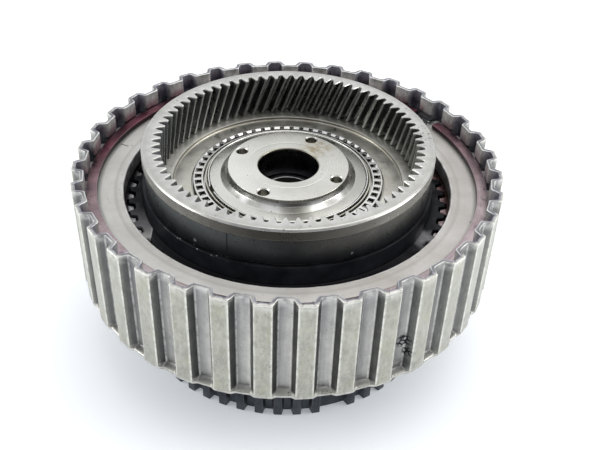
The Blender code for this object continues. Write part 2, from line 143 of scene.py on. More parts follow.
def toothed(pattern, count, phase, plain=None, steps=3):
    """Repeat (radius, angle, fillet, wear) corners round the axis; a plain tooth keeps the lowest radius."""
    corners = []
    lowest = min(corner[0] for corner in pattern)
    for i in range(count):
        for radius, angle, fillet, rub in pattern:
            if i == plain:
                radius, fillet, rub = lowest, 0, 0
            corners.append((*spot(radius, phase + 360 * i / count + angle), fillet, rub))
    return rounded(corners, steps)


def circle_like(points, radius):
    """The same number of points on a circle, each at its own angle."""
    angle = np.unwrap(np.arctan2(points[:, 1], points[:, 0]))
    return np.stack((radius * np.cos(angle), radius * np.sin(angle)), axis=1)


def even_circle(radius, count):
    angle = np.arange(count) * 2 * pi / count
    return np.stack((radius * np.cos(angle), radius * np.sin(angle)), axis=1)


def shifted(points, change):
    """Move each point along its radius."""
    radius = np.linalg.norm(points, axis=1, keepdims=True)
    return points * (radius + change) / radius


def grown(points, distance):
    """Move an outline outward along its own normals."""
    along = np.roll(points, -1, axis=0) - np.roll(points, 1, axis=0)
    length = np.maximum(np.linalg.norm(along, axis=1, keepdims=True), 1e-9)
    normal = np.stack((along[:, 1], -along[:, 0]), axis=1) / length
    return points + normal * distance


def spun(points, angle):
    c, s = cos(radians(angle)), sin(radians(angle))
    return points @ np.array(((c, s), (-s, c)))


# --- meshes ------------------------------------------------------------------


def added(name, data):
    """A new object in the scene."""
    thing = bpy.data.objects.new(name, data)
    bpy.context.scene.collection.objects.link(thing)
    return thing


def smoothed(mesh, angle=SMOOTH_ANGLE):
    mesh.shade_smooth()
    mesh.set_sharp_from_angle(angle=radians(angle))


def mesh_from(name, points, faces, smooth_angle=SMOOTH_ANGLE, attributes=None):
    mesh = bpy.data.meshes.new(name)
    mesh.from_pydata([tuple(p) for p in np.asarray(points) * MM], [], faces)
    for key, values in (attributes or {}).items():
        layer = mesh.attributes.new(key, "FLOAT", "POINT")
        layer.data.foreach_set("value", np.asarray(values, np.float32))
    work = bmesh.new()
    work.from_mesh(mesh)
    bmesh.ops.remove_doubles(work, verts=work.verts, dist=2e-6)
    bmesh.ops.dissolve_degenerate(work, edges=work.edges, dist=1e-6)
    bmesh.ops.recalc_face_normals(work, faces=work.faces)
    work.to_mesh(mesh)
    work.free()
    mesh.validate()
    smoothed(mesh, smooth_angle)
    return added(name, mesh)


def band(name, rows, more=None):
    """A ring-shaped piece from rows of (points, height, wear): each joins the next, and the last the first.

    more is further attributes, each a value for every point."""
    count = len(rows[0][0])
    points = [np.column_stack((outline, np.broadcast_to(height, count))) for outline, height, _ in rows]
    wear = [np.broadcast_to(rub, count) for _, _, rub in rows]
    column = np.arange(count)
    after = (column + 1) % count
    faces = []
    for k in range(len(rows)):
        a = k * count
        b = (k + 1) % len(rows) * count
        faces += np.stack((a + column, a + after, b + after, b + column), axis=1).tolist()
    attributes = {"wear": np.concatenate(wear), **(more or {})}
    return mesh_from(name, np.concatenate(points), faces, attributes=attributes)


def turned(name, profile, segments=192):
    """Turn a closed outline of (radius, height, wear) points, listed up the outer side and down the inner."""
    base = even_circle(1, segments)
    return band(name, [(base * radius, height, rub) for radius, height, rub in profile])


def softened(profile, steps=3):
    """Round a closed (radius, height, fillet) profile into (radius, height, wear) points."""
    points, wear = rounded([(*corner, 1) for corner in profile], steps)
    keep = [i for i in range(len(points)) if np.linalg.norm(points[i] - points[i - 1]) > 1e-6]
    return [(points[i][0], points[i][1], wear[i]) for i in keep]


def lathe(name, profile, segments=192, steps=3):
    """A turned piece from (radius, height, fillet) corners, up the outer side and down the inner."""
    return turned(name, softened(profile, steps), segments)


def joined(name, pieces):
    """Several separate solids as one piece."""
    work = bmesh.new()
    for piece in pieces:
        piece.data.transform(piece.matrix_world)
        work.from_mesh(piece.data)
        bpy.data.objects.remove(piece)
    mesh = bpy.data.meshes.new(name)
    work.to_mesh(mesh)
    work.free()
    return added(name, mesh)


def cut(piece, cutters):
    """Take the cutters out of a piece, and remove them."""
    for tool in cutters:
        change = piece.modifiers.new("cut", "BOOLEAN")
        change.object = tool
        change.operation = "DIFFERENCE"
        change.solver = "EXACT"
    bpy.context.view_layer.update()
    graph = bpy.context.evaluated_depsgraph_get()
    mesh = bpy.data.meshes.new_from_object(piece.evaluated_get(graph))
    piece.modifiers.clear()
    piece.data = mesh
    for tool in cutters:
        bpy.data.objects.remove(tool)
    smoothed(mesh)
    return piece


def settle(piece, body, look, *nodes):
    """Give a finished piece its material and its body, and hide the CAD nodes that it stands for."""
    slot, material = LOOKS[look]
    piece.data.materials.clear()
    piece.data.materials.append(material)
    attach(piece, body)
    if nodes:
        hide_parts(*nodes)
    return piece


# --- materials ---------------------------------------------------------------


class Field:
    """A number or colour that changes over a piece. Arithmetic on it adds math nodes to its tree."""

    def __init__(self, tree, socket):
        self.tree = tree
        self.socket = socket

    def __add__(self, other):
        return self.tree.math("ADD", self, other)

    def __sub__(self, other):
        return self.tree.math("SUBTRACT", self, other)

    def __rsub__(self, other):
        return self.tree.math("SUBTRACT", other, self)

    def __mul__(self, other):
        return self.tree.math("MULTIPLY", self, other)

    def __truediv__(self, other):
        return self.tree.math("DIVIDE", self, other)

    def __abs__(self):
        return self.tree.math("ABSOLUTE", self)

    def ramp(self, low, high, start=0, end=1):
        """start up to low, end from high on, and a straight line between them."""
        inputs = {"Value": self, "From Min": low, "From Max": high, "To Min": start, "To Max": end}
        return self.tree.field("ShaderNodeMapRange", "Result", inputs, clamp=True)

    def fall(self, low, high):
        return self.ramp(low, high, 1, 0)


class Tree:
    """The nodes of a material or a world, with a short way to add and join them."""

    def __init__(self, owner, place="Object"):
        owner.use_nodes = True
        self.owner = owner
        self.nodes = owner.node_tree.nodes
        self.links = owner.node_tree.links
        self.shader = self.nodes.get("Principled BSDF") or self.nodes["Background"]
        self.colour = None
        self.place = self.add("ShaderNodeTexCoord").outputs[place]
        self.parts = self.add("ShaderNodeSeparateXYZ", {0: self.place}).outputs
        self.height = Field(self, self.parts["Z"])
        self.radius = self.vector("LENGTH", self.scaled(1, 1, 0))

    def add(self, kind, inputs=None, **settings):
        node = self.nodes.new(kind)
        for key, value in settings.items():
            setattr(node, key, value)
        for key, value in (inputs or {}).items():
            self.feed(node.inputs[key], value)
        return node

    def feed(self, socket, value):
        if isinstance(value, Field):
            value = value.socket
        if isinstance(value, bpy.types.NodeSocket):
            self.links.new(value, socket)
        elif isinstance(value, tuple) and socket.type == "RGBA":
            socket.default_value = (*value, 1)
        else:
            socket.default_value = value

    def set(self, name, value):
        self.feed(self.shader.inputs[name], value)

    def field(self, kind, output, inputs, **settings):
        return Field(self, self.add(kind, inputs, **settings).outputs[output])

    def math(self, operation, a, b=0, clamp=False):
        return self.field("ShaderNodeMath", 0, {0: a, 1: b}, operation=operation, use_clamp=clamp)

    def vector(self, operation, a, b=(0, 0, 0), output="Value"):
        return self.field("ShaderNodeVectorMath", output, {0: a, 1: b}, operation=operation)

    def scaled(self, x, y, z):
        """The place, stretched: a small value along an axis draws a pattern out along it."""
        return self.vector("MULTIPLY", self.place, (x, y, z), "Vector")

    def noise(self, scale, detail=3, vector=None, roughness=0.55):
        inputs = {"Vector": vector or self.place, "Scale": scale, "Detail": detail, "Roughness": roughness}
        return self.field("ShaderNodeTexNoise", "Fac", inputs)

    def spokes(self, scale, detail=3, roughness=0.55):
        """Noise that changes only with the angle round the axis."""
        way = self.vector("NORMALIZE", self.scaled(1, 1, 0), output="Vector")
        return self.noise(scale, detail, way, roughness)

    def cells(self, scale, feature="F1"):
        """Distance from the middle of scattered cells, or from their borders."""
        inputs = {"Vector": self.place, "Scale": scale, "Randomness": 1}
        return self.field("ShaderNodeTexVoronoi", "Distance", inputs, feature=feature)

    def rings(self, fineness):
        """Fine turning marks that follow the radius and the height, as a lathe leaves them."""
        inputs = {"W": self.radius + self.height * 1.37, "Scale": fineness, "Detail": 4}
        return self.field("ShaderNodeTexNoise", "Fac", inputs, noise_dimensions="1D")

    def attribute(self, name):
        return Field(self, self.add("ShaderNodeAttribute", attribute_name=name).outputs["Fac"])

    def worn(self, scale, detail, *limits):
        """The mesh's wear, broken up by noise."""
        return self.attribute("wear") * self.noise(scale, detail).ramp(*limits)

    def rough(self, scale, smooth, dull):
        """A roughness that wanders between two values."""
        return self.noise(scale, 4).ramp(0.3, 0.7, smooth, dull)

    def along(self, angle):
        """How far a point lies from the axis in one direction, given as an angle."""
        return self.vector("DOT_PRODUCT", self.place, (cos(radians(angle)), sin(radians(angle)), 0))

    def lobe(self, angle, width):
        """1 in one direction from the axis, falling to 0 at width degrees either side of it."""
        return (self.along(angle) / self.radius).ramp(cos(radians(width)), 1)

    def near(self, x, y, z, inner, outer, warp=0, scale=300):
        """1 within inner of a place, 0 beyond outer, with an uneven edge; all in millimetres."""
        away = self.vector("DISTANCE", self.place, (x * MM, y * MM, z * MM))
        if warp:
            away = away + (self.noise(scale, 4, roughness=0.6) - 0.5) * (warp * MM)
        return away.fall(inner * MM, outer * MM)

    def highest(self, first, *others):
        for other in others:
            first = self.math("MAXIMUM", first, other)
        return first

    def mix(self, amount, first, second):
        return self.field("ShaderNodeMix", 2, {0: amount, 6: first, 7: second}, data_type="RGBA")

    def paint(self, amount, colour):
        """Lay a colour over what the material has so far."""
        self.colour = self.mix(amount, self.colour, colour)

    def finish(self, roughness, height=None, bump=0.2, distance=0.0002, metallic=1):
        self.set("Base Color", self.colour)
        self.set("Roughness", roughness)
        self.set("Metallic", metallic)
        if height is not None:
            inputs = {"Height": height, "Strength": bump, "Distance": distance}
            self.set("Normal", self.field("ShaderNodeBump", "Normal", inputs))
        return self.owner


def new_look(name):
    return Tree(bpy.data.materials.new(name))


def steel(name, light, dark, smooth=0.28, rough=0.45, marks=2500, mark_depth=0.12, specks=0.5,
          edge=(0.8, 0.79, 0.76), edge_amount=0.6, stain=None, stain_amount=0, dim=None):
    """Worked steel: mottled colour, turning marks, dark specks, bright worn edges and an oily stain; dim adds
    painted shade in a band between two heights.
    """
    tree = new_look(name)
    cloud = tree.noise(60, 4)
    fine = tree.noise(900, 3)
    blend = cloud * 0.7 + fine * 0.3
    tree.colour = tree.mix(blend.ramp(0.35, 0.65), dark, light)
    marks_value = tree.rings(marks)
    tree.paint(marks_value.ramp(0.3, 0.75, 0, 0.25), dark)
    where = tree.noise(150, 2).ramp(0.52, 0.62)
    pit = tree.cells(420).fall(0.1, 0.22) * where * specks
    tree.paint(pit, (0.03, 0.03, 0.032))
    if stain is not None:
        spread = tree.noise(35, 5, roughness=0.65).ramp(0.48, 0.66, 0, stain_amount)
        tree.paint(spread, stain)
    tree.paint(tree.worn(260, 3, 0.3, 0.6) * edge_amount, edge)
    # Painted shade: a darker band between two heights, where rounded edges would catch a highlight.
    if dim is not None:
        low, high, amount = dim
        between = tree.height.ramp(low, low + 0.0002) * tree.height.fall(high, high + 0.0002)
        tree.paint(between * amount, (0.12, 0.115, 0.1))
    bump = marks_value * mark_depth + fine * 0.25 - pit * 0.8
    return tree.finish(tree.rough(180, smooth, rough), bump, 0.35, 0.00008)


def drum_material():
    """Stamped drum: satin lands, flanks painted near-black as shade, cooler valleys with painted shading
    across them, painted light on the lands at the sides and the foot, bright worn edges partly painted as
    highlights, painted light and shade on the inner wall, grime and painted shade in the recesses, soot on
    one valley.
    """
    tree = new_look("drum_steel")
    streak = tree.noise(420, 4, tree.scaled(1, 1, 0.06))
    cloud = tree.noise(150, 6, roughness=0.72)
    dash = tree.noise(650, 4, tree.scaled(1, 1, 0.4), roughness=0.7)
    grain = tree.noise(1500, 3)
    land = tree.attribute("land")
    blend = dash * 0.55 + cloud * 0.45
    land_colour = tree.mix(blend.ramp(0.42, 0.58), (0.325, 0.32, 0.28), (0.435, 0.43, 0.378))
    warm = tree.noise(120, 4).ramp(0.5, 0.68, 0, 0.55)
    land_colour = tree.mix(warm, land_colour, (0.41, 0.405, 0.31))
    # Painted light: the lands lighter towards the drum's left and right sides.
    sides = abs(tree.along(0)).ramp(0.035, 0.08, 0, 0.45)
    land_colour = tree.mix(sides, land_colour, (0.6, 0.595, 0.54))
    # The land edges lighter: partly worn bright, partly a painted highlight along them.
    edge = tree.attribute("edge") * tree.noise(300, 4).ramp(0.32, 0.52, 0.1, 1)
    land_colour = tree.mix(edge * 0.6, land_colour, (0.68, 0.675, 0.61))
    collar = tree.height.ramp(0.079, 0.0792)
    land_colour = tree.mix(collar * 0.5, land_colour, (0.68, 0.66, 0.62))
    # Painted shading across each valley: dark at one side, light at the other, weaker on the drum's right.
    across = tree.attribute("across") + (streak - 0.5) * 0.9
    valley_painted_shading = across.ramp(0.1, 1) * tree.along(0).ramp(0.01, 0.05, 1, 0.4)
    valley_colour = tree.mix(valley_painted_shading, (0.225, 0.222, 0.218), (0.56, 0.55, 0.515))
    valley_colour = tree.mix(cloud.ramp(0.4, 0.6, 0.3, 0), valley_colour, (0.2, 0.2, 0.195))
    valley_colour = tree.mix(tree.height.ramp(0.06, 0.079, 0, 0.35), valley_colour, (0.2, 0.2, 0.21))
    tree.colour = tree.mix(land.ramp(0.55, 0.95), valley_colour, land_colour)
    line = tree.height.ramp(0.0788, 0.079) * tree.height.fall(0.0791, 0.0793)
    line = line * land.ramp(0.6, 0.9) * cloud.ramp(0.42, 0.55)
    tree.paint(line * 0.6, (0.09, 0.085, 0.075))
    # Painted shade: the flanks near-black, most towards the front of the drum.
    flank = tree.attribute("flank").ramp(0.25, 0.9)
    facing = tree.along(-90).ramp(0.045, 0.08, 0.55, 0.85)
    shadow = tree.mix(cloud, (0.03, 0.032, 0.034), (0.1, 0.102, 0.095))
    tree.paint(flank * facing * dash.ramp(0.3, 0.6, 1, 0.85), shadow)
    # Painted light: the foot of the drum lighter, below about 37 mm.
    lower = tree.height.ramp(0.0352, 0.0375, 0.75, 0)
    tree.paint(lower, tree.mix(dash, (0.32, 0.315, 0.28), (0.56, 0.555, 0.5)))
    where = tree.noise(140, 5, roughness=0.65).ramp(0.5, 0.6, 0, 0.7)
    low = tree.height.ramp(0.0355, 0.042, 0.75, 0)
    where = tree.math("ADD", where, low, clamp=True)
    size = tree.noise(500).ramp(0.35, 0.65, 0.12, 0.42)
    pit = tree.cells(1000).fall(0.1, size) * where
    tree.paint(pit * 0.7, (0.07, 0.065, 0.055))
    # Inside the drum: painted shade in the pockets, darker and bluer, and painted light on the ridges nearer
    # the axis.
    proud = tree.radius.fall(0.0805, 0.0825)
    patchy = (dash * 0.6 + cloud * 0.4).ramp(0.4, 0.6)
    inner_pocket_shade = tree.mix(patchy, (0.24, 0.245, 0.31), (0.46, 0.465, 0.54))
    inner_colour = tree.mix(proud, inner_pocket_shade, tree.mix(patchy, (0.54, 0.545, 0.54), (0.9, 0.9, 0.88)))
    tree.paint(tree.attribute("inner").ramp(0.6, 0.95), inner_colour)
    # Grime and painted shade in the recesses: the snap-ring groove, the inside floor and round the foot.
    grime_and_shade = tree.attribute("grime_and_shade") * tree.noise(130, 4).ramp(0.3, 0.62, 0.55, 1)
    tree.paint(grime_and_shade, (0.04, 0.039, 0.058))
    tree.paint(tree.worn(420, 4, 0.38, 0.54, 0.1, 1) * 0.8, (0.82, 0.81, 0.77))
    sooty = tree.highest(tree.near(42.4, -69.9, 50.4, 2.4, 3.7, 2, 650),
                         tree.near(45, -68.9, 45.2, 1.9, 3.2, 2, 500))
    core = tree.near(42.3, -69.9, 52.3, 0.4, 1.5, 3, 650)
    streak_down = tree.near(44.4, -68.8, 39.5, 1.2, 4.6, 3, 300) * 0.55
    web = tree.cells(480, "DISTANCE_TO_EDGE").ramp(0.1, 0.22, 1, 0.15)
    soot = tree.highest(core, sooty * web, streak_down)
    tree.paint(soot, (0.012, 0.012, 0.014))
    height = grain * 0.35 + blend * 0.9 - pit
    return tree.finish(tree.rough(240, 0.32, 0.52), height, 0.5, 0.00016)


def plate_material():
    """Ground face, warmer on the right, with painted shade towards its outer edge and on its sides, one
    scratch and a few dots.
    """
    tree = new_look("ground_plate")
    cloud = tree.noise(60, 5, roughness=0.6)
    marks = tree.rings(2600)
    left = tree.along(180).ramp(-0.03, 0.06)
    light = tree.mix(left, (0.62, 0.595, 0.56), (0.645, 0.632, 0.595))
    dark = tree.mix(left, (0.505, 0.475, 0.44), (0.53, 0.518, 0.482))
    tree.colour = tree.mix(cloud.ramp(0.35, 0.65), dark, light)
    tree.paint(marks.ramp(0.35, 0.75, 0, 0.25), dark)
    tree.paint(tree.rings(420).ramp(0.48, 0.68, 0, 0.45), (0.4, 0.38, 0.345))
    # Painted shade: a darker band towards the outer edge, stronger on the left.
    outer = (tree.radius + (cloud - 0.5) * 0.004).ramp(0.0742, 0.0758)
    tree.paint(outer * (left * 0.5 + 0.25), (0.25, 0.265, 0.245))
    stain = tree.noise(35, 5, roughness=0.65).ramp(0.5, 0.68, 0, 0.3)
    tree.paint(stain, (0.38, 0.35, 0.31))
    off = abs(tree.along(65.4) + 0.00903)
    scratch = off.fall(0.00015, 0.00045) * tree.near(-69.8, 22, PLATE_TOP, 1.6, 2.2)
    dot = tree.near(-66.6, 21.8, PLATE_TOP, 0.1, 0.5)
    other = tree.near(70.3, -25.9, PLATE_TOP, 0.1, 0.5)
    tree.paint(tree.highest(scratch, dot, other) * 0.85, (0.06, 0.055, 0.05))
    pit = tree.cells(420).fall(0.08, 0.16) * cloud.ramp(0.5, 0.62, 0, 0.5)
    tree.paint(pit, (0.06, 0.055, 0.05))
    sludge = tree.near(60.9, 49.6, PLATE_TOP, 3.2, 5.6, 4, 400)
    tree.paint(sludge * 0.93, (0.012, 0.013, 0.017))
    grit = tree.cells(750).fall(0.2, 0.34) * sludge * tree.noise(500).ramp(0.48, 0.56)
    tree.paint(grit, (0.75, 0.75, 0.76))
    # Painted shade on the side faces, below the top face.
    side = tree.height.ramp(0.0703, 0.0706, 0.8, 0)
    tree.paint(side, (0.05, 0.048, 0.05))
    tree.paint(tree.worn(260, 3, 0.3, 0.6) * 0.8, (0.86, 0.85, 0.82))
    bump = marks * 0.15 + tree.noise(900) * 0.1
    return tree.finish(tree.rough(180, 0.46, 0.6), bump, 0.35, 0.00008, metallic=0.4)


def tempered_material():
    """Heat-tinted snap ring: deep plum towards the back, paler and greyer towards the front, with painted
    shade on its sides.
    """
    tree = new_look("tempered_steel")
    cloud = tree.noise(80, 5, roughness=0.6)
    marks = tree.rings(2600)
    plum = tree.mix(cloud.ramp(0.35, 0.65), (0.055, 0.018, 0.027), (0.17, 0.05, 0.07))
    pale = tree.mix(cloud.ramp(0.35, 0.65), (0.38, 0.3, 0.31), (0.54, 0.46, 0.46))
    front = (tree.along(-78) + cloud * 0.03).ramp(-0.014, 0.06)
    tree.colour = tree.mix(front, plum, pale)
    tree.paint(marks.ramp(0.45, 0.75, 0, 0.3), (0.06, 0.05, 0.055))
    stain = tree.noise(260, 5, roughness=0.7).ramp(0.54, 0.62, 0, 0.6)
    stain = stain * tree.radius.ramp(0.0765, 0.0785)
    tree.paint(stain, (0.03, 0.025, 0.035))
    # Painted shade on the ring's sides, below its top face.
    side = tree.height.ramp(0.0727, 0.073, 0.8, 0)
    tree.paint(side, (0.02, 0.016, 0.018))
    tree.paint(tree.worn(240, 3, 0.3, 0.55) * 0.75, (0.5, 0.44, 0.45))
    return tree.finish(tree.rough(200, 0.24, 0.42), marks, 0.25, 0.00006)


def oily_material():
    """Clutch hub: black oil film, painted near-black as shade on the splines below its ledge and darker on
    its top face, with two greyish stretches beside the ring gear, one cut off short.
    """
    tree = new_look("oily_steel")
    cloud = tree.noise(90, 5, roughness=0.6)
    towards_front = tree.along(-90)
    # Painted shade: below the ledge, on the splines, the colour goes near-black.
    ledge = tree.height.fall(0.0652, 0.066)
    thick = tree.mix(ledge, (0.014, 0.015, 0.019), (0.001, 0.001, 0.002))
    thin = tree.mix(ledge, (0.04, 0.042, 0.05), (0.004, 0.004, 0.006))
    black = tree.mix(cloud.ramp(0.35, 0.7), thick, thin)
    # Painted shade: the top face darker, where a highlight would show.
    top = tree.height.ramp(0.0725, 0.0728) * cloud.ramp(0.35, 0.6, 1, 0.5)
    black = tree.mix(top, black, (0.008, 0.008, 0.01))
    left = tree.along(180).ramp(0.0513, 0.0518) * ledge
    left = left * towards_front.ramp(0.014, 0.034, 0, 1.15)
    right = tree.near(54, -30, 64.8, 2, 7, 7, 160)
    # Two greyish stretches: one on the left ledge, cut off short, and one on the right.
    grey_patches = tree.highest(left, right)
    grey = tree.mix(tree.noise(300, 4), (0.1, 0.095, 0.105), (0.4, 0.385, 0.39))
    grey = tree.mix(left * towards_front.ramp(0.026, 0.036, 0, 0.9), grey, (0.68, 0.66, 0.6))
    tree.colour = tree.mix(grey_patches * 0.8, black, grey)
    line = tree.along(180).ramp(0.0513, 0.0515) * tree.along(180).fall(0.0517, 0.052)
    line = line * ledge * towards_front.ramp(0.012, 0.02)
    tree.paint(line * 0.8, (0.5, 0.5, 0.48))
    tree.paint(tree.worn(160, 4, 0.42, 0.62) * 0.25, (0.2, 0.21, 0.23))
    grit = tree.cells(750).fall(0.16, 0.3) * cloud.ramp(0.47, 0.56)
    grit = grit * tree.near(-32, -48, 73, 9, 22) * tree.height.ramp(0.0722, 0.0728)
    tree.paint(grit * 0.7, (0.5, 0.5, 0.5))
    tree.set("Specular IOR Level", 0.15)
    return tree.finish(tree.rough(150, 0.3, 0.5), cloud, 0.2, 0.0001, metallic=0.4)


def hub_material():
    """Bright turned flange: small pits, a tea-coloured stain, polish streaks on its fillet painted as light
    and dark reflection, painted highlights and a painted shadow on the fillet, painted light and shade on its
    top and sides, a bore painted dark as shade.
    """
    tree = new_look("hub_steel")
    radius = tree.radius
    height = tree.height
    cloud = tree.noise(75, 5, roughness=0.6)
    marks = tree.rings(2300)
    tree.colour = tree.mix(cloud.ramp(0.35, 0.65), (0.57, 0.56, 0.505), (0.69, 0.68, 0.62))
    tree.paint(marks.ramp(0.3, 0.75, 0, 0.3), (0.43, 0.418, 0.375))
    # Painted shade towards the back right of the flange, and painted light towards its front left.
    tree.paint(tree.along(70).ramp(0.005, 0.024, 0, 0.4), (0.45, 0.44, 0.385))
    tree.paint(tree.along(200).ramp(0.006, 0.022, 0, 0.55), (0.86, 0.85, 0.79))
    # The fillet's polish, painted as streaks of light and dark reflection.
    streak = tree.spokes(2.6, 6, 0.62).ramp(0.38, 0.64)
    low = height.fall(0.0762, 0.0768) * height.ramp(0.07375, 0.074)
    streaked_reflection = tree.mix(streak, (0.3, 0.292, 0.27), (0.62, 0.61, 0.565))
    tree.paint(low * 0.9, streaked_reflection)
    # Painted highlights on the fillet, in four directions.
    bright = tree.highest(*(tree.lobe(*way) for way in ((-104, 11), (-64, 9), (-130, 5.5), (-40, 5))))
    tree.paint(low * bright * 0.8, (0.88, 0.87, 0.83))
    # Painted shade on the foot, strongest towards the front right.
    foot = height.fall(0.0737, 0.0739) * radius.ramp(0.027, 0.0274)
    foot_shade = tree.along(-50).ramp(0, 0.02, 0.25, 0.7)
    tree.paint(foot * foot_shade, (0.36, 0.355, 0.325))
    shadow = height.fall(0.0762, 0.0768) * radius.ramp(0.0245, 0.0247) * tree.lobe(-83, 14) * 0.85
    tree.paint(shadow, (0.12, 0.117, 0.1))
    # Painted shade on the flange's upright side face.
    edge = radius.ramp(0.0242, 0.0243) * height.ramp(0.0758, 0.0766)
    tree.paint(edge * 0.65, (0.14, 0.135, 0.12))
    speck = tree.noise(900, 4, roughness=0.7).ramp(0.6, 0.68)
    stain = tree.near(11.5, 12.5, HUB_TOP, 2.5, 8.5, 7, 260) * tree.noise(420, 4).ramp(0.4, 0.6)
    tree.paint(stain * 0.75, (0.3, 0.235, 0.12))
    tree.paint(stain * speck, (0.06, 0.045, 0.03))
    pit = tree.cells(380).fall(0.06, 0.16) * cloud.ramp(0.5, 0.62)
    tree.paint(pit * 0.7, (0.05, 0.045, 0.04))
    # Painted shade down the bore.
    inside = radius.fall(0.0123, 0.0126)
    bore = tree.mix(tree.noise(300, 4), (0.03, 0.03, 0.036), (0.1, 0.1, 0.11))
    tree.paint(inside, bore)
    lip = inside * height.ramp(0.0763, 0.0771) * cloud.ramp(0.3, 0.55, 0.5, 0.95)
    tree.paint(lip, (0.36, 0.33, 0.26))
    wear = tree.worn(260, 3, 0.3, 0.55) * radius.ramp(0.0128, 0.0132)
    tree.paint(wear * 0.6, (0.85, 0.84, 0.81))
    bump = marks * 0.15 + tree.noise(900) * 0.05 - pit
    return tree.finish(tree.rough(180, 0.2, 0.36), bump, 0.35, 0.00008)


def ring_gear_material():
    """Light ground rim with a chamfer in painted shade, a dull band below it painted dark at the front and
    light at the sides, a black oily wall with painted light towards its sides and painted shade on its shelf,
    two painted glints, and charcoal teeth with thin worn crests.
    """
    tree = new_look("ring_gear")
    radius = tree.radius
    height = tree.height
    cloud = tree.noise(90, 5, roughness=0.6)
    marks = tree.rings(3000)
    light = tree.mix(cloud.ramp(0.35, 0.65), (0.45, 0.44, 0.405), (0.6, 0.59, 0.55))
    light = tree.mix(marks.ramp(0.3, 0.75, 0, 0.4), light, (0.3, 0.29, 0.26))
    outside = radius.ramp(0.0558, 0.056)
    inside = radius.fall(0.0536, 0.0539)
    # Painted shade: the rim's outer chamfer darker, where a highlight would show.
    chamfer = radius.ramp(0.0569, 0.0571) * height.ramp(0.0887, 0.0889) * 0.6
    light = tree.mix(chamfer, light, (0.3, 0.295, 0.27))
    # The dull band: painted shade at the front, painted light at the sides.
    dull = tree.mix(tree.lobe(-92, 38), (0.52, 0.515, 0.475), (0.105, 0.103, 0.09))
    dull = tree.mix(cloud.ramp(0.4, 0.62, 0, 0.3), dull, (0.1, 0.098, 0.085))
    band = outside * height.fall(0.0886, 0.0888)
    tree.colour = tree.mix(band, light, dull)
    oil = tree.mix(tree.noise(60, 5).ramp(0.36, 0.66), (0.016, 0.0175, 0.0205), (0.04, 0.0435, 0.047))
    upper = height.ramp(0.074, 0.084)
    # Painted light on the upper wall towards its left and right sides.
    left = tree.along(-145).ramp(0.03, 0.052) * upper * 0.8
    oil = tree.mix(left, oil, (0.17, 0.188, 0.188))
    right_painted_light = tree.along(-38).ramp(0.034, 0.056) * upper * 0.85
    oil = tree.mix(right_painted_light, oil, (0.2, 0.2, 0.185))
    lower = height.ramp(0.0735, 0.08, 0.4, 0)
    oil = tree.mix(lower, oil, (0.017, 0.02, 0.026))
    wall = outside * height.fall(0.0844, 0.0849)
    tree.paint(wall, oil)
    # Painted shade: the shelf at the foot of the wall near-black.
    shelf = outside * height.fall(0.0739, 0.0743) * cloud.ramp(0.35, 0.6, 1, 0.85)
    tree.paint(shelf, (0.003, 0.003, 0.004))
    line = height.ramp(0.084, 0.0843) * height.fall(0.0847, 0.0849) * outside
    tree.paint(line * 0.6, (0.01, 0.01, 0.01))
    across = abs(tree.along(-21.5))
    seam = across.fall(0.00012, 0.00032) * wall * tree.along(-111.5).ramp(0, 0.01)
    seam = seam * height.ramp(0.0745, 0.0765)
    tree.paint(seam * 0.9, (0.004, 0.004, 0.005))
    flank = inside * height.fall(0.0888, 0.0893)
    charcoal = tree.mix(tree.noise(240, 4), (0.1, 0.105, 0.105), (0.25, 0.255, 0.25))
    tree.paint(flank, charcoal)
    pit = tree.cells(420).fall(0.1, 0.24) * tree.noise(150, 2).ramp(0.55, 0.65)
    pepper = tree.cells(620).fall(0.2, 0.38) * tree.near(50.5, 5, RING_TOP, 4, 11)
    tree.paint(tree.highest(pit, pepper) * 0.7, (0.03, 0.03, 0.025))
    # Two small painted glints on the wall.
    speck = tree.highest(tree.near(-33, -46.7, 75.4, 0.2, 0.9, 0.8, 900),
                         tree.near(23.5, -52.2, 75.7, 0.2, 0.7, 0.8, 900))
    tree.paint(speck, (0.55, 0.56, 0.56))
    wear = tree.worn(200, 3, 0.25, 0.55, 0.25, 1)
    crest = wear * flank.ramp(0, 1, 0.7, 0.18)
    tree.paint(crest, (0.72, 0.72, 0.69))
    bump = marks * 0.2 + tree.noise(1100) * 0.2
    metallic = 1 - wall * 0.45 - band * (1 - wall) * 0.25
    return tree.finish(tree.rough(200, 0.22, 0.4), bump, 0.35, 0.00008, metallic=metallic)


def rubber_material():
    tree = new_look("rubber")
    grain = tree.noise(700, 3)
    tree.colour = tree.mix(grain, (0.012, 0.012, 0.013), (0.035, 0.034, 0.034))
    return tree.finish(grain.ramp(0.3, 0.7, 0.5, 0.75), grain, 0.2, 0.0001, metallic=0)


def lining_material():
    """Oiled friction paper on the faces, and steel where the teeth are, darkened by oil and painted shade
    towards the paper.
    """
    tree = new_look("friction_lining")
    fibre = tree.noise(1300, 5)
    paper = tree.mix(fibre, (0.07, 0.04, 0.025), (0.17, 0.11, 0.07))
    grey = tree.mix(tree.noise(300), (0.22, 0.215, 0.215), (0.46, 0.45, 0.45))
    rosy = tree.mix(tree.noise(300), (0.2, 0.1, 0.1), (0.42, 0.27, 0.27))
    metal = tree.mix(tree.along(30).ramp(0.03, 0.058), grey, rosy)
    # Oil and painted shade darken the teeth beyond about 64.7 mm: black on the left, reddish brown on the
    # right; the same colour in random spots.
    shade_and_smear = tree.mix(tree.along(0).ramp(-0.01, 0.03), (0.012, 0.01, 0.014), (0.09, 0.05, 0.045))
    oil = tree.radius + tree.noise(400, 4) * 0.0016
    metal = tree.mix(oil.ramp(0.0647, 0.0655, 0, 0.92), metal, shade_and_smear)
    spots = tree.noise(520, 4, roughness=0.65).ramp(0.5, 0.6, 0, 0.8)
    metal = tree.mix(spots, metal, shade_and_smear)
    side = tree.radius.ramp(0.0668, 0.067)
    tree.colour = tree.mix(side, metal, paper)
    return tree.finish(side.ramp(0, 1, 0.35, 0.8), fibre, 0.3, 0.0001, metallic=1 - side)


